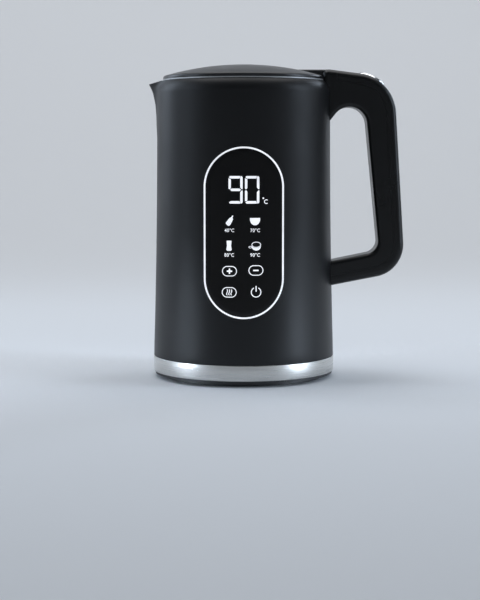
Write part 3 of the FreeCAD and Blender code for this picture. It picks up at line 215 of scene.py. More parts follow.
def start(name):
    """An empty material and its node tree."""
    material = bpy.data.materials.new(name)
    material.use_nodes = True
    material.node_tree.nodes.clear()
    return material, material.node_tree


def moulded(name, colour, rough, grain=0.9, depth=0.02, ior=1.53, cloud=32.0, **coat):
    """A moulded plastic or rubber: an even grain from the tool's wall, and a sheen that varies over the part."""
    material, tree = start(name)
    place = add(tree, "ShaderNodeTexCoord").outputs["Object"]
    fine = add(tree, "ShaderNodeTexNoise", {"Vector": place, "Scale": per_mm(grain), "Detail": 3.0, "Roughness": 0.6})
    broad = add(tree, "ShaderNodeTexNoise", {"Vector": place, "Scale": per_mm(cloud), "Detail": 3.0})
    sheen = add(tree, "ShaderNodeMapRange", {
        "Value": broad.outputs["Fac"], "From Min": 0.3, "From Max": 0.7, "To Min": rough[0], "To Max": rough[1]})
    bump = add(tree, "ShaderNodeBump", {"Height": fine.outputs["Fac"], "Strength": 0.35, "Distance": depth * MM})
    shader = add(tree, "ShaderNodeBsdfPrincipled", {
        "Base Color": colour, "Roughness": sheen.outputs["Result"], "IOR": ior,
        "Normal": bump.outputs["Normal"], **coat})
    add(tree, "ShaderNodeOutputMaterial", {"Surface": shader.outputs["BSDF"]})
    return material


def brushed(name, colour, rough, line=(30.0, 30.0, 0.35), depth=0.006):
    """A metal with a direction: fine lines that are long one way, in tone, gloss and height."""
    material, tree = start(name)
    place = add(tree, "ShaderNodeTexCoord").outputs["Object"]
    drawn = add(tree, "ShaderNodeMapping", {"Vector": place, "Scale": [per_mm(size) for size in line]})
    lines = add(tree, "ShaderNodeTexNoise", {"Vector": drawn.outputs["Vector"], "Scale": 1.0, "Detail": 4.0})
    tone = add(tree, "ShaderNodeValToRGB", {"Fac": lines.outputs["Fac"]})
    tone.color_ramp.elements[0].position, tone.color_ramp.elements[1].position = 0.3, 0.7
    tone.color_ramp.elements[0].color = [*(c * 0.86 for c in colour), 1]
    tone.color_ramp.elements[1].color = [*(min(1, c * 1.1) for c in colour), 1]
    gloss = add(tree, "ShaderNodeMapRange", {
        "Value": lines.outputs["Fac"], "From Min": 0.3, "From Max": 0.7, "To Min": rough[0], "To Max": rough[1]})
    bump = add(tree, "ShaderNodeBump", {"Height": lines.outputs["Fac"], "Strength": 0.5, "Distance": depth * MM})
    shader = add(tree, "ShaderNodeBsdfPrincipled", {
        "Base Color": tone.outputs["Color"], "Metallic": 1.0, "Roughness": gloss.outputs["Result"],
        "Normal": bump.outputs["Normal"]})
    add(tree, "ShaderNodeOutputMaterial", {"Surface": shader.outputs["BSDF"]})
    return material


def lit(name, colour, strength, spread=9.0):
    """Opal acrylic over lamps: white when off, and when lit a little brighter over each lamp."""
    material, tree = start(name)
    place = add(tree, "ShaderNodeTexCoord").outputs["Object"]
    lamps = add(tree, "ShaderNodeTexNoise", {"Vector": place, "Scale": per_mm(spread), "Detail": 1.0})
    power = add(tree, "ShaderNodeMapRange", {
        "Value": lamps.outputs["Fac"], "From Min": 0.3, "From Max": 0.7,
        "To Min": 0.9 * strength, "To Max": 1.1 * strength})
    shader = add(tree, "ShaderNodeBsdfPrincipled", {
        "Base Color": linear("#8f9193"), "Roughness": 0.4, "IOR": 1.49, "Emission Color": colour,
        "Emission Strength": power.outputs["Result"]})
    add(tree, "ShaderNodeOutputMaterial", {"Surface": shader.outputs["BSDF"]})
    return material


FINISHES = {}


def make_finishes(colours):
    """Makes one material for each slot of the record, and one for the line under the lid."""
    FINISHES.update({
        # ABS from a spark-eroded tool, whose 0.3 mm grain is drawn at 0.9 mm so that it shows: matte, soft highlights
        "shell_black": moulded("abs_spark_eroded_black", colours.shell, (0.40, 0.46),
                               **{"Specular IOR Level": 0.3}),
        # the same ABS from a finer tool: a satin top that takes up the sky
        "lid_gray": moulded("abs_satin_black", colours.lid, (0.30, 0.36), grain=0.7, depth=0.01),
        # glass-filled polypropylene, rubbed smooth by hands: a closer sheen than the shell
        "handle_black": moulded("polypropylene_satin_black", colours.handle, (0.26, 0.36), grain=0.8, depth=0.01,
                                ior=1.49, **{"Specular IOR Level": 0.35}),
        # PMMA, printed black behind: deep and glossy
        "panel_black": moulded("pmma_gloss_black", linear("#030304"), (0.05, 0.09), grain=4.0, depth=0.002, ior=1.49,
                               **{"Specular IOR Level": 0.3}),
        # opal PMMA over white lamps
        "light_white": lit("opal_acrylic_lit", colours.light, 0.92),
        # 18/8 stainless, brushed round the foot: lines 0.15 mm apart, drawn at 0.35 mm
        "brushed_steel": brushed("stainless_brushed_round", linear("#cfcecb"), (0.24, 0.36), depth=0.05),
        # the same steel, bead blasted: an even thin line under the lid
        "lid_line": brushed("stainless_bead_blasted", linear("#b4b5b6"), (0.45, 0.55), line=(0.5, 0.5, 0.5),
                            depth=0.01),
        # 18/8 stainless, deep drawn and satin inside
        "pot_steel": brushed("stainless_satin", linear("#c6c5c1"), (0.2, 0.34), line=(24, 24, 0.8)),
        # bright chrome over ABS: almost a mirror
        "bezel_chrome": brushed("chrome_plated_abs", linear("#e6e8ea"), (0.1, 0.16), line=(12, 12, 12), depth=0.001),
        # zinc-plated and spring steel, as drawn
        "screw_steel": brushed("zinc_plated_steel", linear("#b9bbbd"), (0.28, 0.4), line=(2, 2, 2), depth=0.004),
        "spring_steel": brushed("spring_steel_wire", linear("#a9abae"), (0.22, 0.32), line=(1.5, 1.5, 1.5),
                                depth=0.003),
        # silicone, then the plain black plastic of the inside parts
        "seal_silicone": moulded("silicone_rubber_grey", linear("#c4c3bf"), (0.5, 0.6), grain=1.2, ior=1.41),
        "inner_plastic": moulded("polypropylene_matte_black", linear("#1b1c1e"), (0.42, 0.52), grain=0.9, ior=1.49),
        # the heater's cast aluminium and the connector's turned brass
        "plate_aluminium": brushed("aluminium_die_cast", linear("#c3c5c8"), (0.35, 0.5), line=(3, 3, 3), depth=0.02),
        "contact_brass": brushed("brass_turned", linear("#c9a659"), (0.18, 0.3), line=(8, 8, 0.5)),
        # the boards with their lacquer, the parts on them and the leads
        "board_green": moulded("fibreglass_board_green", linear("#1d5b3a"), (0.3, 0.42), grain=0.6, ior=1.55,
                               cloud=6.0),
        "component_black": moulded("epoxy_moulded_black", linear("#1d1e1f"), (0.35, 0.5), grain=0.5, ior=1.55),
        "lead_jacket": moulded("pvc_jacket_grey", linear("#b8b8b2"), (0.4, 0.5), grain=1.5, ior=1.53),
    })


def dress(*nodes, finish=None):
    """Gives CAD nodes the finish of their material slot, or one of their own."""
    slots = {row["node"]: row["material_slot"] for row in frame["record"]["subparts"]}
    for node in nodes:
        mesh = NODES[node].data
        mesh.materials.clear()
        mesh.materials.append(FINISHES[finish or slots[node]])


# Shapes


def side_radius(z):
    """The shell's outer radius at a height, both in millimetres."""
    share = min(1, max(0, (z - SIDE_BOTTOM) / (SHOULDER - SIDE_BOTTOM)))
    return TOP_RADIUS + FLARE * (1 - share) ** 2


def turned(points, rounds, steps):
    """A section in the XZ plane with some corners rounded, spun once about Z."""
    bm = bmesh.new()
    corners = [bm.verts.new((x, 0, z)) for x, z in points]
    bm.faces.new(corners)
    for number, radius in rounds.items():
        bmesh.ops.bevel(bm, geom=[corners[number]], offset=radius, offset_type="OFFSET", affect="VERTICES",
                        segments=4, profile=0.5, material=-1)
    bmesh.ops.delete(bm, geom=bm.faces[:], context="FACES_ONLY")
    on_axis = [e for e in bm.edges if all(abs(v.co.x) < 1e-6 for v in e.verts)]
    bmesh.ops.delete(bm, geom=on_axis, context="EDGES")
    return spun(bm, steps)


def spun(bm, steps):
    """A line in the XZ plane, spun once about Z and closed."""
    bmesh.ops.spin(bm, geom=bm.verts[:] + bm.edges[:], cent=(0, 0, 0), axis=(0, 0, 1), angle=2 * math.pi, steps=steps,
                   use_merge=True)
    bmesh.ops.remove_doubles(bm, verts=bm.verts, dist=1e-4)
    bmesh.ops.recalc_face_normals(bm, faces=bm.faces)
    return bm


def piece(bm, name, slot, body, *nodes, crease=CREASE):
    """Turns a shape drawn in millimetres into a finished piece, on a body if one is given."""
    bmesh.ops.scale(bm, vec=(MM, MM, MM), verts=bm.verts)
    mesh = bpy.data.meshes.new(name)
    bm.to_mesh(mesh)
    bm.free()
    mesh.shade_smooth()
    mesh.set_sharp_from_angle(angle=math.radians(crease))
    mesh.materials.append(FINISHES[slot])
    made = bpy.data.objects.new(name, mesh)
    bpy.context.scene.collection.objects.link(made)
    if body:
        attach(made, body)
    if nodes:
        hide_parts(*nodes)
    return made


def cut(made, bm, how="DIFFERENCE"):
    """Takes a shape drawn in millimetres out of a piece, or joins it on."""
    bmesh.ops.recalc_face_normals(bm, faces=bm.faces)
    bmesh.ops.scale(bm, vec=(MM, MM, MM), verts=bm.verts)
    mesh = bpy.data.meshes.new("cutter")
    bm.to_mesh(mesh)
    bm.free()
    cutter = bpy.data.objects.new("cutter", mesh)
    bpy.context.scene.collection.objects.link(cutter)
    taken = made.modifiers.new("cut", "BOOLEAN")
    taken.object, taken.operation, taken.solver = cutter, how, "MANIFOLD"
    graph = bpy.context.evaluated_depsgraph_get()
    old, made.data = made.data, bpy.data.meshes.new_from_object(made.evaluated_get(graph))
    made.data.name = made.name
    made.data.shade_smooth()
    made.data.set_sharp_from_angle(angle=math.radians(CREASE))
    made.modifiers.clear()
    for thing, home in ((cutter, bpy.data.objects), (mesh, bpy.data.meshes), (old, bpy.data.meshes)):
        home.remove(thing)


def wrap(bm, lift):
    """Bends a shape drawn flat in the XZ plane on to the shell's front, at a height above it."""
    for vert in bm.verts:
        radius = side_radius(vert.co.z) + lift
        vert.co.y = -math.sqrt(radius**2 - vert.co.x**2)


def stadium(bm, radius):
    """An upright flat outline with half-circle ends, its sides divided as finely as its ends."""
    made = bmesh.ops.create_circle(bm, cap_ends=True, segments=END_POINTS, radius=radius)
    turn = UPRIGHT @ Matrix.Rotation(math.radians(180 / END_POINTS), 3, "Z")
    bmesh.ops.rotate(bm, cent=(0, 0, 0), matrix=turn, verts=made["verts"])
    for vert in made["verts"]:
        vert.co.z += math.copysign(PANEL_STRAIGHT, vert.co.z) + PANEL_CENTRE
    long = [e for e in bm.edges if e.calc_length() > PANEL_STRAIGHT]
    bmesh.ops.subdivide_edges(bm, edges=long, cuts=SIDE_CUTS)
    return bm.faces[:]


def smooth_more(first, second, blend):
    """The larger of two lengths, eased over a distance where they are close."""
    near = max(blend - abs(first - second), 0) / blend
    return max(first, second) + near**2 * blend / 4


def beak_radius(angle, z):
    """How far the V beak reaches from the axis, by the angle from its nose and the height."""
    share = (z - BODY_TOP + BEAK_DROP) / BEAK_DROP
    swell = BEAK_SWELL * share**2 * (1 if share > 0 else -BEAK_TUCK)
    centre = TOP_RADIUS + swell - BEAK_SINK - BEAK_NOSE
    touch = math.atan2(BEAK_NOSE * math.sin(BEAK_LEAN), centre + BEAK_NOSE * math.cos(BEAK_LEAN))
    if angle < touch:
        return centre * math.cos(angle) + math.sqrt(BEAK_NOSE**2 - (centre * math.sin(angle)) ** 2)
    return (centre * math.cos(BEAK_LEAN) + BEAK_NOSE) / math.cos(angle - BEAK_LEAN)


def shoulder_radius(z):
    """The shell's outer radius where it rounds in to the rim."""
    rise, inset = BODY_TOP - SHOULDER, TOP_RADIUS - RIM_RADIUS
    bend = (rise**2 + inset**2) / (2 * inset)
    return TOP_RADIUS - bend + math.sqrt(bend**2 - max(0, z - SHOULDER) ** 2)


def beak_reach(angle, radius, z, low):
    """Where the beak carries a point of the turned shell: its outside, its channel or the ledge under that."""
    outer, blend = beak_radius(angle, low), BEAK_EASE * min(1, max(0.01, (BEAK_SPAN - angle) / BEAK_FADE))
    if z < LEDGE - 0.1:
        return radius if radius < side_radius(z) - 1 else smooth_more(radius, outer, blend)
    if radius < (RIM_RADIUS + MOUTH_RADIUS) / 2:
        return smooth_more(MOUTH_RADIUS, outer - BEAK_WALL, 1.0) + radius - MOUTH_RADIUS
    if z > LEDGE + 0.1 or radius > (LEDGE_RADIUS + TOP_RADIUS) / 2:
        skin = shoulder_radius(z)
        return smooth_more(skin, outer, blend) + radius - skin
    return max(radius, outer - BEAK_WALL + LEDGE_STEP)


def pull_beak(bm):
    """Draws the beak out of the turned shell, with its channel and its rim sloping to the tip."""
    for vert in bm.verts:
        x, y, z = vert.co
        angle, radius = math.atan2(abs(y), -x), math.hypot(x, y)
        if angle > BEAK_SPAN or z < BODY_TOP - BEAK_DEPTH * BEAK_DROP:
            continue
        share, low = max(0, z - LEDGE) / (BODY_TOP - LEDGE), z
        # the reach and the height depend on each other, and settle in a few turns
        for _ in range(8):
            reach = beak_reach(angle, radius, z, low)
            low = z - share * BEAK_SLOPE * max(0, reach * math.cos(angle) - RIM_RADIUS)
        vert.co = (x * reach / radius, y * reach / radius, low)


def across(points, half):
    """A closed outline in the XZ plane, made solid by half a width to each side."""
    bm = bmesh.new()
    face = bm.faces.new([bm.verts.new((x, -half, z)) for x, z in points])
    grown = bmesh.ops.extrude_face_region(bm, geom=[face])["geom"]
    bmesh.ops.translate(bm, vec=(0, 2 * half, 0), verts=[v for v in grown if isinstance(v, bmesh.types.BMVert)])
    bmesh.ops.recalc_face_normals(bm, faces=bm.faces)
    return bm


def rod(radius, half, middle=0.0):
    """A round bar along the hinge's axis."""
    bm = bmesh.new()
    bmesh.ops.create_cone(bm, cap_ends=True, segments=64, radius1=radius, radius2=radius, depth=2 * half)
    bmesh.ops.rotate(bm, cent=(0, 0, 0), matrix=UPRIGHT, verts=bm.verts)
    bmesh.ops.translate(bm, vec=(HINGE_X, middle, HINGE_Z), verts=bm.verts)
    return bm


class KETTLE_OT_stage(Operator):
    """Adds the pale floor, the soft lights and the camera"""

    bl_idname = "kettle.stage"
    bl_label = "Stage"

    def execute(self, context):
        scene = context.scene
        self.sweep(scene)
        for name, row in LIGHTS.items():
            self.light(scene, name, *row)
        self.world(scene)
        self.camera(scene)
        scene.view_settings.view_transform = "Standard"
        return {"FINISHED"}

    def sweep(self, scene):
        """A round sheet of paper, flat in the middle and bent up to a wall all round."""
        paper, tree = start("paper_sweep")
        place = add(tree, "ShaderNodeTexCoord").outputs["Object"]
        mottle = add(tree, "ShaderNodeTexNoise", {"Vector": place, "Scale": per_mm(400), "Detail": 2.0})
        matt = add(tree, "ShaderNodeMapRange", {"Value": mottle.outputs["Fac"], "To Min": 0.55, "To Max": 0.65})
        shader = add(tree, "ShaderNodeBsdfPrincipled", {
            "Base Color": scene.kettle_colours.floor, "Roughness": matt.outputs["Result"], "Specular IOR Level": 0.0})
        add(tree, "ShaderNodeOutputMaterial", {"Surface": shader.outputs["BSDF"]})
        turns = [math.radians(90 * n / 24) for n in range(25)]
        bend = [(FLAT + BEND * math.sin(a), BEND - BEND * math.cos(a)) for a in turns]
        bm = bmesh.new()
        line = [bm.verts.new((r, 0, z)) for r, z in ((0, 0), *bend, (FLAT + BEND, WALL))]
        for pair in zip(line, line[1:]):
            bm.edges.new(pair)
        mesh = bpy.data.meshes.new("sweep")
        spun(bm, 96).to_mesh(mesh)
        bm.free()
        mesh.shade_smooth()
        mesh.materials.append(paper)
        sweep = bpy.data.objects.new("sweep", mesh)
        scene.collection.objects.link(sweep)

    def light(self, scene, name, place, width, height, power, spread, colour, aim):
        """A flat soft box that faces its aim and isn't seen itself."""
        data = bpy.data.lights.new(name, "AREA")
        data.shape, data.size, data.size_y, data.energy = "RECTANGLE", width, height, power
        data.color, data.spread = linear(colour), math.radians(spread)
        light = bpy.data.objects.new(name, data)
        light.location = place
        light.rotation_euler = (Vector(aim) - light.location).to_track_quat("-Z", "Y").to_euler()
        light.visible_camera = False
        scene.collection.objects.link(light)

    def world(self, scene):
        """A faint even light from all round."""
        world = bpy.data.worlds.new("studio")
        world.use_nodes = True
        world.node_tree.nodes.clear()
        glow = add(world.node_tree, "ShaderNodeBackground", {"Color": linear("#c3ccd6"), "Strength": 0.12})
        add(world.node_tree, "ShaderNodeOutputWorld", {"Surface": glow.outputs["Background"]})
        scene.world = world

    def camera(self, scene):
        """A long lens a little above the kettle's middle, tilted down to it."""
        data = bpy.data.cameras.new("camera")
        data.sensor_fit, data.sensor_height, data.lens = "VERTICAL", SENSOR, scene.kettle_sizes.lens
        camera = bpy.data.objects.new("camera", data)
        camera.location = CAMERA
        camera.rotation_euler = (math.radians(90 - TILT), 0, 0)
        scene.collection.objects.link(camera)
        scene.camera = camera


class KETTLE_OT_body(Operator):
    """Turns the outer shell, draws out its beak and makes room for the hinge"""

    bl_idname = "kettle.body"
    bl_label = "Body"

    def execute(self, context):
        side = [SIDE_BOTTOM + (SHOULDER - SIDE_BOTTOM) * n / 24 for n in range(1, 25)]
        shoulder = [SHOULDER + (BODY_TOP - SHOULDER) * math.sin(math.radians(90) * n / 12) for n in range(1, 13)]
        outside = [(SKIRT_RADIUS, SKIRT_BOTTOM), (SKIRT_RADIUS, SKIRT_TOP), (EDGE_RADIUS, SIDE_BOTTOM),
                   *[(side_radius(z), z) for z in side], *[(shoulder_radius(z), z) for z in shoulder]]
        inside = [(MOUTH_RADIUS, BODY_TOP), (MOUTH_RADIUS, MOUTH_MIDDLE), (MOUTH_RADIUS, LEDGE),
                  (LEDGE_RADIUS, LEDGE), (INSIDE_RADIUS, INSIDE_HEIGHT), (SKIRT_INSIDE, SKIRT_BOTTOM)]
        rim = len(outside) - 1
        bm = turned(outside + inside, {2: EDGE_ROUND, rim: RIM_ROUND, rim + 1: MOUTH_ROUND}, SHELL_STEPS)
        pull_beak(bm)
        shell = piece(bm, "body_shell", "shell_black", "jug", "outer_shell")
        cut(shell, rod(BARREL_ROOM, BARREL_ROOM_HALF))
        return {"FINISHED"}


class KETTLE_OT_foot(Operator):
    """Turns the steel trim ring and finishes the base"""

    bl_idname = "kettle.foot"
    bl_label = "Foot"

    def execute(self, context):
        edge = context.scene.kettle_sizes.ring_edge / MM
        section = [(LIP_INSIDE, TRIM_BOTTOM), (TRIM_RADIUS, TRIM_BOTTOM), (TRIM_RADIUS, TRIM_TOP),
                   (TRIM_INSIDE, TRIM_TOP), (TRIM_INSIDE, LIP_TOP), (LIP_INSIDE, LIP_TOP)]
        bm = turned(section, {1: edge, 2: 0.5 * edge}, SHELL_STEPS)
        piece(bm, "foot_trim", "brushed_steel", "jug", "trim_ring")
        dress("base_cover", "base_screws", "connector_housing", "contact_pin", "contact_ring")
        return {"FINISHED"}


class KETTLE_OT_panel(Operator):
    """Builds the glossy touch panel and the lit ring round it"""

    bl_idname = "kettle.panel"
    bl_label = "Panel"

    def execute(self, context):
        sizes = context.scene.kettle_sizes
        bm = bmesh.new()
        self.sheet(bm, PANEL_RADIUS, PANEL_STRIPS)
        self.finish(bm, sizes.panel_proud / MM, "touch_glass", "panel_black", "touch_panel")
        bm = bmesh.new()
        middle = self.sheet(bm, RING_OUTER, RING_STRIPS)
        bmesh.ops.delete(bm, geom=middle, context="FACES")
        self.finish(bm, sizes.ring_proud / MM, "glow_ring", "light_white", "light_ring")
        return {"FINISHED"}

    def sheet(self, bm, radius, strips):
        """A flat upright sheet, divided into strips from its edge inwards; gives back what is left in its middle."""
        middle = stadium(bm, radius)
        for width in strips:
            bmesh.ops.inset_region(bm, faces=middle, thickness=width, use_boundary=True, use_even_offset=True)
        return middle

    def finish(self, bm, lift, name, slot, node):
        """Bends the sheet to the shell, thickens it inwards and rounds its front edges."""
        wrap(bm, lift)
        bmesh.ops.recalc_face_normals(bm, faces=bm.faces)
        if max(bm.faces, key=lambda f: f.calc_area()).normal.y > 0:
            bmesh.ops.reverse_faces(bm, faces=bm.faces)
        bmesh.ops.solidify(bm, geom=bm.faces[:], thickness=SHEET)
        bm.normal_update()
        edges = [e for e in bm.edges if len(e.link_faces) == 2 and e.calc_face_angle() > 1.0
                 and all(math.hypot(v.co.x, v.co.y) > side_radius(v.co.z) + lift - 0.5 for v in e.verts)]
        bmesh.ops.bevel(bm, geom=edges, offset=SHEET_EDGE, offset_type="OFFSET", affect="EDGES", segments=3,
                        profile=0.5, material=-1)
        piece(bm, name, slot, "jug", node)


class KETTLE_OT_figures(Operator):
    """Draws the lit figures, signs and keys on the touch panel"""

    bl_idname = "kettle.figures"
    bl_label = "Figures"

    def execute(self, context):
        # a nine, a nought, the degree dot and a C
        bm = bmesh.new()
        self.digit(bm, -11.6, 10.7, "abcdfg")
        self.digit(bm, 0.85, 10.9, "abcdef")
        self.disc(bm, 14.75, 144.9, 0.65, 0.65)
        self.arc(bm, 17.1, 142.3, 1.15, 1.75, 48, 264)
        self.light(bm, "temperature")

        # the four presets' signs, by rows from the top left
        bm = bmesh.new()
        self.plate(bm, [(-13.9, 126.2), (-12.8, 124.5), (-11.4, 123.9), (-10.2, 124.8), (-8.2, 128.9), (-8.6, 130.3),
                        (-7.9, 131.9), (-8.8, 131.9), (-9.7, 130.5), (-10.8, 130.0)], 0.35)
        self.bowl(bm, 8.5, 130.0, 3.9, 5.5)
        self.plate(bm, [(-13.1, 112.8), (-9.3, 112.8), (-9.7, 109.0), (-9.2, 105.9), (-9.8, 105.1), (-12.7, 105.1),
                        (-13.3, 105.9), (-12.8, 109.0)], 0.4)
        self.ring(bm, 9.45, 109.75, 3.6, 2.25, 0.5)
        self.bowl(bm, 9.45, 109.3, 3.55, 4.0, 2.05)
        self.ring(bm, 4.95, 107.9, 1.3, 0.85, 0.38)
        self.light(bm, "presets")

        bm = bmesh.new()
        for words, x, z in PRESETS:
            self.words(bm, words, x, z, WORD_WIDE, WORD_TALL)
        self.light(bm, "preset_words")

        # the keys: plus, minus, warming and power
        bm = bmesh.new()
        for key in (PLUS, MINUS, WARM):
            self.pill(bm, *key)
        self.bar(bm, *PLUS, 4.3, 1.2)
        self.bar(bm, *PLUS, 1.2, 4.1)
        self.bar(bm, *MINUS, 4.3, 1.1)
        for step in (-1.6, 0, 1.6):
            self.wave(bm, WARM[0] + step, WARM[1])
        self.arc(bm, *POWER, 3.3, 4.0, 118, 304)
        self.bar(bm, POWER[0], POWER[1] + 2.6, 0.85, 4.5)
        self.light(bm, "keys")
        return {"FINISHED"}

    def plate(self, bm, points, corner=0.0):
        """A flat shape in the panel's plane with its corners rounded."""
        corners = [bm.verts.new((x, 0, z)) for x, z in points]
        bm.faces.new(corners)
        if corner:
            bmesh.ops.bevel(bm, geom=corners, offset=corner, offset_type="OFFSET", affect="VERTICES", segments=3,
                            profile=0.5, material=-1)

    def digit(self, bm, left, width, strokes):
        """A seven-stroke figure, each stroke with a slanted gap to the next."""
        right, low, high, w, h = left + width, DIGIT_LOW, DIGIT_HIGH, STROKE_WIDE, STROKE_TALL
        mid = (low + high) / 2
        top = [(left + 1.0, high), (right - w - 0.05, high), (right - w - 0.45, high - h), (left + w - 0.1, high - h),
               (left + 0.35, high - 1.0)]
        upper_left = [(left, high - 1.6), (left + 0.25, high - 1.75), (left + w, high - h - 0.45),
                      (left + w, mid + 1.5), (left + 1.15, mid + 0.4), (left + 0.3, mid + 0.5), (left, mid + 1.0)]
        upper_right = [(right - w + 0.2, high - 0.15), (right - 0.9, high), (right, high - 0.9), (right, mid + 0.6),
                       (right - 0.5, mid + 0.35), (right - w, mid + 1.7), (right - w - 0.05, high - h)]
        middle = [(left + 1.25, mid), (left + 2.2, mid + h / 2), (right - w - 0.5, mid + h / 2),
                  (right - w + 0.6, mid), (right - w - 0.5, mid - h / 2), (left + 2.2, mid - h / 2)]
        shapes = {"a": top, "f": upper_left, "b": upper_right, "g": middle}
        # the lower strokes mirror the upper ones
        for below, above in (("d", "a"), ("e", "f"), ("c", "b")):
            shapes[below] = [(x, 2 * mid - z) for x, z in reversed(shapes[above])]
        for stroke in strokes:
            self.plate(bm, shapes[stroke], 0.25)

    def disc(self, bm, x, z, wide, tall):
        """A filled circle or ellipse, by its half width and half height."""
        made = bmesh.ops.create_circle(bm, cap_ends=True, segments=24, radius=1)
        self.stand(bm, made["verts"], x, z, wide, tall)
        return made["verts"]

    def stand(self, bm, verts, x, z, wide, tall):
        """Turns a shape drawn in the XY plane upright and puts it in its place."""
        bmesh.ops.scale(bm, vec=(wide, tall, 1), verts=verts)
        bmesh.ops.rotate(bm, cent=(0, 0, 0), matrix=UPRIGHT, verts=verts)
        bmesh.ops.translate(bm, vec=(x, 0, z), verts=verts)

    def bowl(self, bm, x, top, half, deep, hollow=0.0):
        """Half a disc with a flat or a dished top."""
        points = [(x + half * math.cos(a), top - deep * math.sin(a) ** 0.8)
                  for a in (math.pi * n / 20 for n in range(21))]
        rim = [(x - half * math.cos(a), top - hollow * math.sin(a)) for a in (math.pi * n / 12 for n in range(1, 12))]
        self.plate(bm, points + (rim if hollow else []))

    def ring(self, bm, x, z, wide, tall, line):
        """A circle or an ellipse drawn as a line."""
        self.hollow(bm, self.disc(bm, x, z, wide, tall), line)

    def hollow(self, bm, verts, line):
        """Leaves only a line along the edge of a filled shape."""
        face = verts[0].link_faces[0]
        bmesh.ops.inset_region(bm, faces=[face], thickness=line, use_boundary=True, use_even_offset=True)
        bmesh.ops.delete(bm, geom=[face], context="FACES")

    def arc(self, bm, x, z, inner, outer, first, sweep):
        """Part of a ring, from a first angle on, counted from the right."""
        ends = [bm.verts.new((x + r * math.cos(math.radians(first)), 0, z + r * math.sin(math.radians(first))))
                for r in (inner, outer)]
        bmesh.ops.spin(bm, geom=[bm.edges.new(ends), *ends], cent=(x, 0, z), axis=(0, -1, 0),
                       angle=math.radians(sweep), steps=32)

    def bar(self, bm, x, z, wide, tall):
        """A straight stroke with round ends."""
        a, b = wide / 2, tall / 2
        self.plate(bm, [(x - a, z - b), (x + a, z - b), (x + a, z + b), (x - a, z + b)], 0.48 * min(wide, tall))

    def pill(self, bm, x, z):
        """A key's outline with round ends."""
        made = bmesh.ops.create_circle(bm, cap_ends=True, segments=40, radius=KEY_RADIUS)
        for vert in made["verts"]:
            vert.co.x += math.copysign(KEY_STRETCH, vert.co.x) if abs(vert.co.x) > 1e-4 else 0
        self.stand(bm, made["verts"], x, z, 1, 1)
        self.hollow(bm, made["verts"], KEY_LINE)

    def wave(self, bm, x, z):
        """One upright wavy line of the warming sign."""
        made = bmesh.ops.create_grid(bm, x_segments=1, y_segments=14, size=0.5)
        for vert in made["verts"]:
            vert.co.x = vert.co.x * 0.7 + 0.35 * math.sin(vert.co.y * 2 * math.pi)
        self.stand(bm, made["verts"], x, z, 1, 4.5)

    def words(self, bm, words, x, z, wide, tall):
        """A short label, fitted to a width and a height about its middle."""
        text = bpy.data.curves.new("words", "FONT")
        text.body, text.space_character, text.offset = words, 1.1, 0.012
        holder = bpy.data.objects.new("words", text)
        bpy.context.scene.collection.objects.link(holder)
        mesh = bpy.data.meshes.new_from_object(holder.evaluated_get(bpy.context.evaluated_depsgraph_get()))
        old = set(bm.verts)
        bm.from_mesh(mesh)
        verts = [v for v in bm.verts if v not in old]
        low = [min(v.co[i] for v in verts) for i in (0, 1)]
        high = [max(v.co[i] for v in verts) for i in (0, 1)]
        bmesh.ops.translate(bm, vec=(-(low[0] + high[0]) / 2, -(low[1] + high[1]) / 2, 0), verts=verts)
        self.stand(bm, verts, x, z, wide / (high[0] - low[0]), tall / (high[1] - low[1]))
        for thing, home in ((holder, bpy.data.objects), (text, bpy.data.curves), (mesh, bpy.data.meshes)):
            home.remove(thing)

    def light(self, bm, name):
        """Divides the flat shapes, bends them to the panel and gives them a thickness."""
        bmesh.ops.remove_doubles(bm, verts=bm.verts, dist=1e-3)
        # a cut every 2 mm lets wide shapes follow the curve
        for x in range(-18, 20, 2):
            bmesh.ops.bisect_plane(bm, geom=bm.verts[:] + bm.edges[:] + bm.faces[:], plane_co=(x + 0.03, 0, 0),
                                   plane_no=(1, 0, 0))
        bm.normal_update()
        bmesh.ops.reverse_faces(bm, faces=[f for f in bm.faces if f.normal.y > 0])
        wrap(bm, bpy.context.scene.kettle_sizes.panel_proud / MM + FIGURE_LIFT)
        bm.normal_update()
        bmesh.ops.solidify(bm, geom=bm.faces[:], thickness=FIGURE_SHEET)
        piece(bm, name, "light_white", "jug")


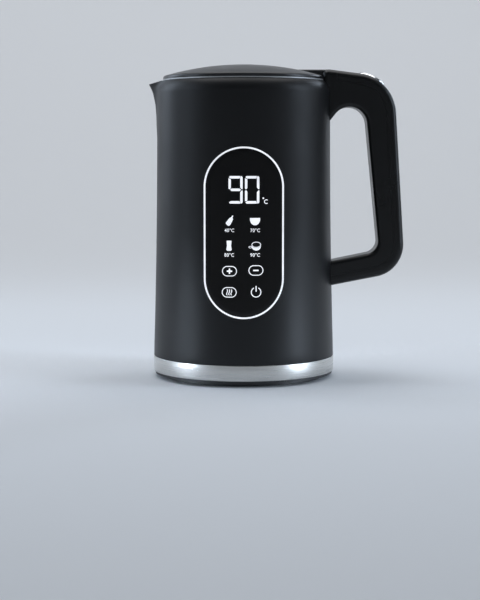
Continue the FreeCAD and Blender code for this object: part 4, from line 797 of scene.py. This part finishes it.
class KETTLE_OT_lid(Operator):
    """Turns the lid's dome, adds its hinge tongue and finishes the parts under it"""

    bl_idname = "kettle.lid"
    bl_label = "Lid"

    def execute(self, context):
        outer, inner = LID_CROWN - LID_EDGE, LID_CROWN - LID_EDGE - LID_WALL / 2
        well = LID_RADIUS - LID_WALL
        points = [(LID_RADIUS, LID_SKIRT), (LID_RADIUS, LID_EDGE), *self.arch(LID_RADIUS, outer, LID_CROWN),
                  *reversed(self.arch(well, inner, LID_CROWN - LID_WALL)),
                  (well, LID_CROWN - LID_WALL - inner), (well, LID_SKIRT)]
        bm = turned(points, {0: SKIRT_ROUND, 1: BROW_ROUND}, LID_STEPS)
        lid = piece(bm, "lid_top", "lid_gray", "lid", "lid_shell")
        front, back, low = HINGE_X - BARREL - BARREL_GAP, HINGE_X + NOTCH_REACH, LID_SKIRT - NOTCH_DROP
        cut(lid, across([(front, HINGE_Z), (front, low), (back, low), (back, HINGE_Z)], NOTCH_HALF))
        cut(lid, rod(BARREL + BARREL_GAP, NOTCH_HALF))
        cut(lid, self.tongue(), "UNION")
        cut(lid, self.tooth(), "UNION")
        cut(lid, rod(SLOT_RADIUS, SLOT_HALF, SLOT_MIDDLE))
        cut(lid, rod(BORE_RADIUS, BORE_HALF))
        dress("lid_trim", finish="lid_line")
        dress("lid_base", "lid_liner", "lid_seal", "lid_screws", "hinge_pin", "lid_spring")
        return {"FINISHED"}

    def arch(self, radius, rise, top):
        """Points of a shallow dome from its edge in to the axis."""
        bend = (radius**2 + rise**2) / (2 * rise)
        steps = [radius * (1 - n / 28) for n in range(1, 29)]
        return [(r, top - bend + math.sqrt(bend**2 - r**2)) for r in steps]

    def tongue(self):
        """The raised strip that carries the lid back to its pin, rounded along its top."""
        turns = [math.radians(90 - 180 * n / 24) for n in range(25)]
        barrel = [(HINGE_X + BARREL * math.cos(a), HINGE_Z + BARREL * math.sin(a)) for a in turns]
        bm = across([(TONGUE_FRONT, HINGE_Z + BARREL), *barrel, (MOUTH_RADIUS, LID_SKIRT), (TONGUE_FRONT, LID_SKIRT)],
                    TONGUE_HALF)
        top = [e for e in bm.edges if abs(abs(e.verts[0].co.y) - TONGUE_HALF) < 1e-4
               and e.verts[0].co.y == e.verts[1].co.y and all(v.co.z > HINGE_Z - 0.1 for v in e.verts)
               and max(v.co.x for v in e.verts) > TONGUE_FRONT + 1]
        bmesh.ops.bevel(bm, geom=top, offset=TONGUE_ROUND, offset_type="OFFSET", affect="EDGES", segments=4,
                        profile=0.5, material=-1)
        return bm

    def tooth(self):
        """The tooth at the back of the barrel that the latch holds."""
        first, last = TOOTH_TURNS
        corners = ((TOOTH_ROOT, first), (TOOTH_REACH, first), (TOOTH_REACH, last), (TOOTH_ROOT, last))
        return across([(HINGE_X + r * math.cos(a), HINGE_Z - r * math.sin(a)) for r, a in corners], TOOTH_HALF)


class KETTLE_OT_handle(Operator):
    """Adds the button's bezel and the latch's spring, and finishes the handle, the button and the latch"""

    bl_idname = "kettle.handle"
    bl_label = "Handle"

    def execute(self, context):
        dress("handle_grip", "handle_cover", "handle_screws", "release_button", "latch_slider")
        low, high = ([value / MM for value in corner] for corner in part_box("latch_spring"))
        spring = piece(self.coil(low, high), "latch_coil", "spring_steel", None, "latch_spring")
        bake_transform(spring)
        piece(self.bezel(), "bezel_rim", "bezel_chrome", "jug", "button_bezel", crease=BEZEL_CREASE)
        return {"FINISHED"}

    def bezel(self):
        """The bright frame round the button: its section carried round a slot that lies on the handle's crown."""
        spine = [(SPINE_HALF, math.radians(a)) for a in range(-90, 91, 6)]
        spine += [(SPINE_HALF * (1 - n / 4), math.radians(90)) for n in range(1, 8)]
        spine += [(-SPINE_HALF, math.radians(a)) for a in range(90, 271, 6)]
        spine += [(SPINE_HALF * (n / 4 - 1), math.radians(270)) for n in range(1, 8)]
        bm = bmesh.new()
        loops = []
        for base, a in spine:
            spots = [self.on_crown(base + (BEZEL_HOLE + u) * math.cos(a), (BEZEL_HOLE + u) * math.sin(a), v)
                     for u, v in BEZEL_SECTION]
            loops.append([bm.verts.new(spot) for spot in spots])
        for one, two in zip(loops, loops[1:] + loops[:1]):
            for n in range(len(one)):
                bm.faces.new((one[n - 1], one[n], two[n], two[n - 1]))
        bmesh.ops.recalc_face_normals(bm, faces=bm.faces)
        return bm

    def coil(self, low, high, wire=0.4, turns=7, steps=24):
        """The latch's spring: a round wire wound about the slider's line of travel."""
        middle, mean = (low[2] + high[2]) / 2, (high[2] - low[2]) / 2 - wire
        rise = (high[0] - low[0] - 2 * wire) / (turns * steps)
        bm = bmesh.new()
        ring = bmesh.ops.create_circle(bm, cap_ends=True, segments=12, radius=wire)["verts"]
        bmesh.ops.rotate(bm, cent=(0, 0, 0), matrix=UPRIGHT, verts=ring)
        bmesh.ops.translate(bm, vec=(low[0] + wire, 0, middle + mean), verts=ring)
        wound = bmesh.ops.spin(bm, geom=ring + bm.edges[:], cent=(0, 0, middle), axis=(1, 0, 0), dvec=(rise, 0, 0),
                               angle=2 * math.pi * turns, steps=turns * steps)
        bmesh.ops.edgeloop_fill(bm, edges=[e for e in wound["geom_last"] if isinstance(e, bmesh.types.BMEdge)])
        bmesh.ops.recalc_face_normals(bm, faces=bm.faces)
        return bm

    def on_crown(self, along, side, lift):
        """A point over the handle's crown, by its way along the slope, to the side and up from the surface."""
        height, cos, sin = math.sqrt((CROWN + lift) ** 2 - along**2), math.cos(CROWN_LEAN), math.sin(CROWN_LEAN)
        return (CROWN_X + height * cos + along * sin, side, CROWN_Z + height * sin - along * cos)


class KETTLE_OT_pot(Operator):
    """Finishes the pot, its collar and the filter"""

    bl_idname = "kettle.pot"
    bl_label = "Pot"

    def execute(self, context):
        dress("inner_pot", "pot_seal", "top_collar", "filter_frame", "filter_mesh", "temperature_sensor",
              "sensor_seal")
        return {"FINISHED"}


class KETTLE_OT_works(Operator):
    """Finishes the heater, the boards and the wiring"""

    bl_idname = "kettle.works"
    bl_label = "Works"

    def execute(self, context):
        dress("heat_plate", "heating_element", "element_terminals", "thermal_cutout", "power_board",
              "board_components", "board_screws", "mains_leads", "ribbon_cable", "control_board", "light_box")
        return {"FINISHED"}


STEPS = (KETTLE_OT_stage, KETTLE_OT_body, KETTLE_OT_foot, KETTLE_OT_panel, KETTLE_OT_figures, KETTLE_OT_lid,
         KETTLE_OT_handle, KETTLE_OT_pot, KETTLE_OT_works)


class KETTLE_PT_build(Panel):
    bl_label = "Cordless Kettle"
    bl_space_type = "VIEW_3D"
    bl_region_type = "UI"
    bl_category = "Kettle"

    def draw(self, context):
        for group in (context.scene.kettle_sizes, context.scene.kettle_colours):
            for name in group.bl_rna.properties.keys():
                if name not in ("rna_type", "name"):
                    self.layout.prop(group, name)
        for step in STEPS:
            self.layout.operator(step.bl_idname)


CLASSES = (KettleSizes, KettleColours, *STEPS, KETTLE_PT_build)


def register():
    for item in CLASSES:
        bpy.utils.register_class(item)
    bpy.types.Scene.kettle_sizes = PointerProperty(type=KettleSizes)
    bpy.types.Scene.kettle_colours = PointerProperty(type=KettleColours)


def unregister():
    del bpy.types.Scene.kettle_colours
    del bpy.types.Scene.kettle_sizes
    for item in reversed(CLASSES):
        bpy.utils.unregister_class(item)


def main():
    register()
    make_finishes(bpy.context.scene.kettle_colours)
    bpy.ops.kettle.stage()
    bpy.ops.kettle.body()
    bpy.ops.kettle.foot()
    bpy.ops.kettle.panel()
    bpy.ops.kettle.figures()
    bpy.ops.kettle.lid()
    bpy.ops.kettle.handle()
    bpy.ops.kettle.pot()
    bpy.ops.kettle.works()


if __name__ == "__main__":
    main()
